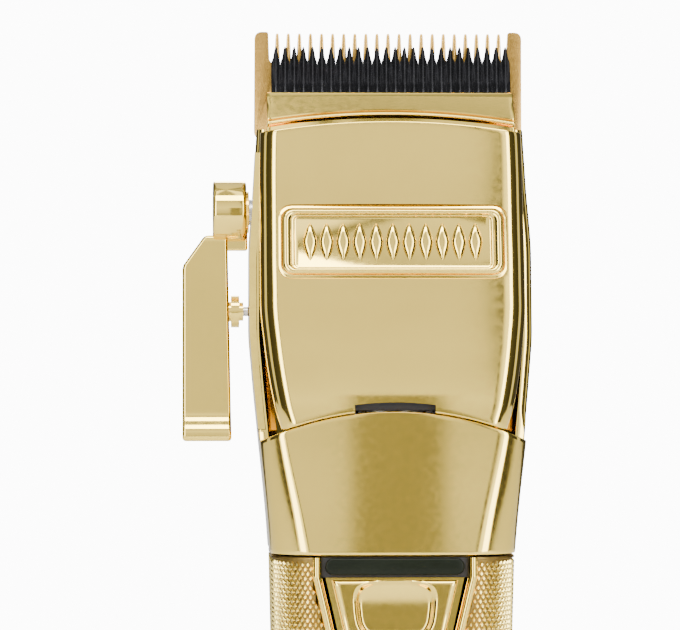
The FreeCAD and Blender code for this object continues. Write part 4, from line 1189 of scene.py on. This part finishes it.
def area_light(name, place, size, power):
    """Softbox aimed at the object; place and size are in millimetres."""
    data = bpy.data.lights.new(name, "AREA")
    data.shape = "RECTANGLE"
    data.size, data.size_y = size[0] * MM, size[1] * MM
    data.energy = power
    lamp = add_object(name, data)
    lamp.location = Vector(place) * MM
    lamp.rotation_euler = (STUDIO_AIM - Vector(place)).to_track_quat("-Z", "Y").to_euler()


def card(name, place, size, color):
    """Matt card that the polished metal mirrors."""
    data = bpy.data.meshes.new(name)
    half_wide, half_high = size[0] / 2 * MM, size[1] / 2 * MM
    data.from_pydata([(-half_wide, -half_high, 0), (half_wide, -half_high, 0), (half_wide, half_high, 0),
                      (-half_wide, half_high, 0)], [], [(0, 1, 2, 3)])
    sheet = add_object(name, data)
    sheet.location = Vector(place) * MM
    sheet.rotation_euler = (STUDIO_AIM - Vector(place)).to_track_quat("Z", "Y").to_euler()
    paint = Shader(name, color, roughness=0.9)
    paint.vary_color(6.0, 0.05)
    data.materials.append(paint.material)
    sheet.visible_camera = False
    sheet.visible_shadow = False


def make_room():
    """World whose tones the polished metal mirrors; the camera sees plain white instead."""
    world = bpy.data.worlds.new("studio")
    world.use_nodes = True
    tree = world.node_tree
    new, link = tree.nodes.new, tree.links.new
    background = tree.nodes["Background"]
    rays = new("ShaderNodeLightPath")
    place = new("ShaderNodeTexCoord")
    parts = new("ShaderNodeSeparateXYZ")
    link(place.outputs["Generated"], parts.inputs["Vector"])

    def math_node(operation, first, second=None):
        made = new("ShaderNodeMath")
        made.operation = operation
        for socket, value in zip(made.inputs, (first, second)):
            if isinstance(value, float):
                socket.default_value = value
            elif value is not None:
                link(value, socket)
        return made.outputs["Value"]

    def tone(source, stops):
        """Grey ramp; the background's strength brings its values up to the stated brightness."""
        return color_ramp(tree, source, [(place, (value / ROOM_STRENGTH,) * 3) for place, value in stops])

    sideways = math_node("ABSOLUTE", parts.outputs["X"])
    ahead = math_node("MULTIPLY", parts.outputs["Y"], -1.0)
    turn = math_node("DIVIDE", math_node("ARCTAN2", sideways, ahead), math.pi)
    rise = math_node("MULTIPLY_ADD", parts.outputs["Z"], 0.5)
    rise.node.inputs[2].default_value = 0.5
    round_the_room = tone(turn, ROOM_TONES)
    up_the_front = tone(rise, FRONT_TONES)
    overhead = tone(rise, OVERHEAD_TONES)
    blend = new("ShaderNodeMix")
    blend.data_type = "RGBA"
    link(math_node("LESS_THAN", turn, FRONT_SECTOR), blend.inputs["Factor"])
    link(round_the_room, blend.inputs[MIX_A])
    link(up_the_front, blend.inputs[MIX_B])
    light = new("ShaderNodeMix")
    light.data_type = "RGBA"
    light.blend_type = "ADD"
    light.inputs["Factor"].default_value = 1.0
    link(blend.outputs[MIX_RESULT], light.inputs[MIX_A])
    link(overhead, light.inputs[MIX_B])
    link(light.outputs[MIX_RESULT], background.inputs["Color"])
    background.inputs["Strength"].default_value = ROOM_STRENGTH
    plain = new("ShaderNodeBackground")
    plain.inputs["Color"].default_value = (1.0, 1.0, 1.0, 1.0)
    plain.inputs["Strength"].default_value = BACKDROP
    mix = new("ShaderNodeMixShader")
    link(rays.outputs["Is Camera Ray"], mix.inputs["Fac"])
    link(background.outputs["Background"], mix.inputs[1])
    link(plain.outputs["Background"], mix.inputs[2])
    link(mix.outputs["Shader"], tree.nodes["World Output"].inputs["Surface"])
    bpy.context.scene.world = world


def make_floor():
    """Pale round sheet that the object stands on."""
    floor = bpy.data.meshes.new("floor")
    rim = [point * MM for point in ring((0.0, 0.0, 0.0), FLOOR_RADIUS, "z", 64)]
    floor.from_pydata(rim, [], [tuple(range(len(rim)))])
    sheet = add_object("floor", floor)
    paper = Shader("paper", (0.92, 0.92, 0.92), roughness=0.9)
    paper.vary_color(40.0, 0.01)
    floor.materials.append(paper.material)


make_room()
make_floor()
# Each lamp: place, size and power.
area_light("softbox_left", (-260, -545, 220), (150, 640), 2.4)
area_light("softbox_right", (290, -530, 220), (150, 640), 2.4)
area_light("softbox_top", (0, -380, 640), (520, 220), 5.0)
area_light("softbox_rear", (0, 620, 420), (240, 300), 3.0)
card("dark_front", (36, -600, 150), (76, 300), (0.26, 0.25, 0.17))
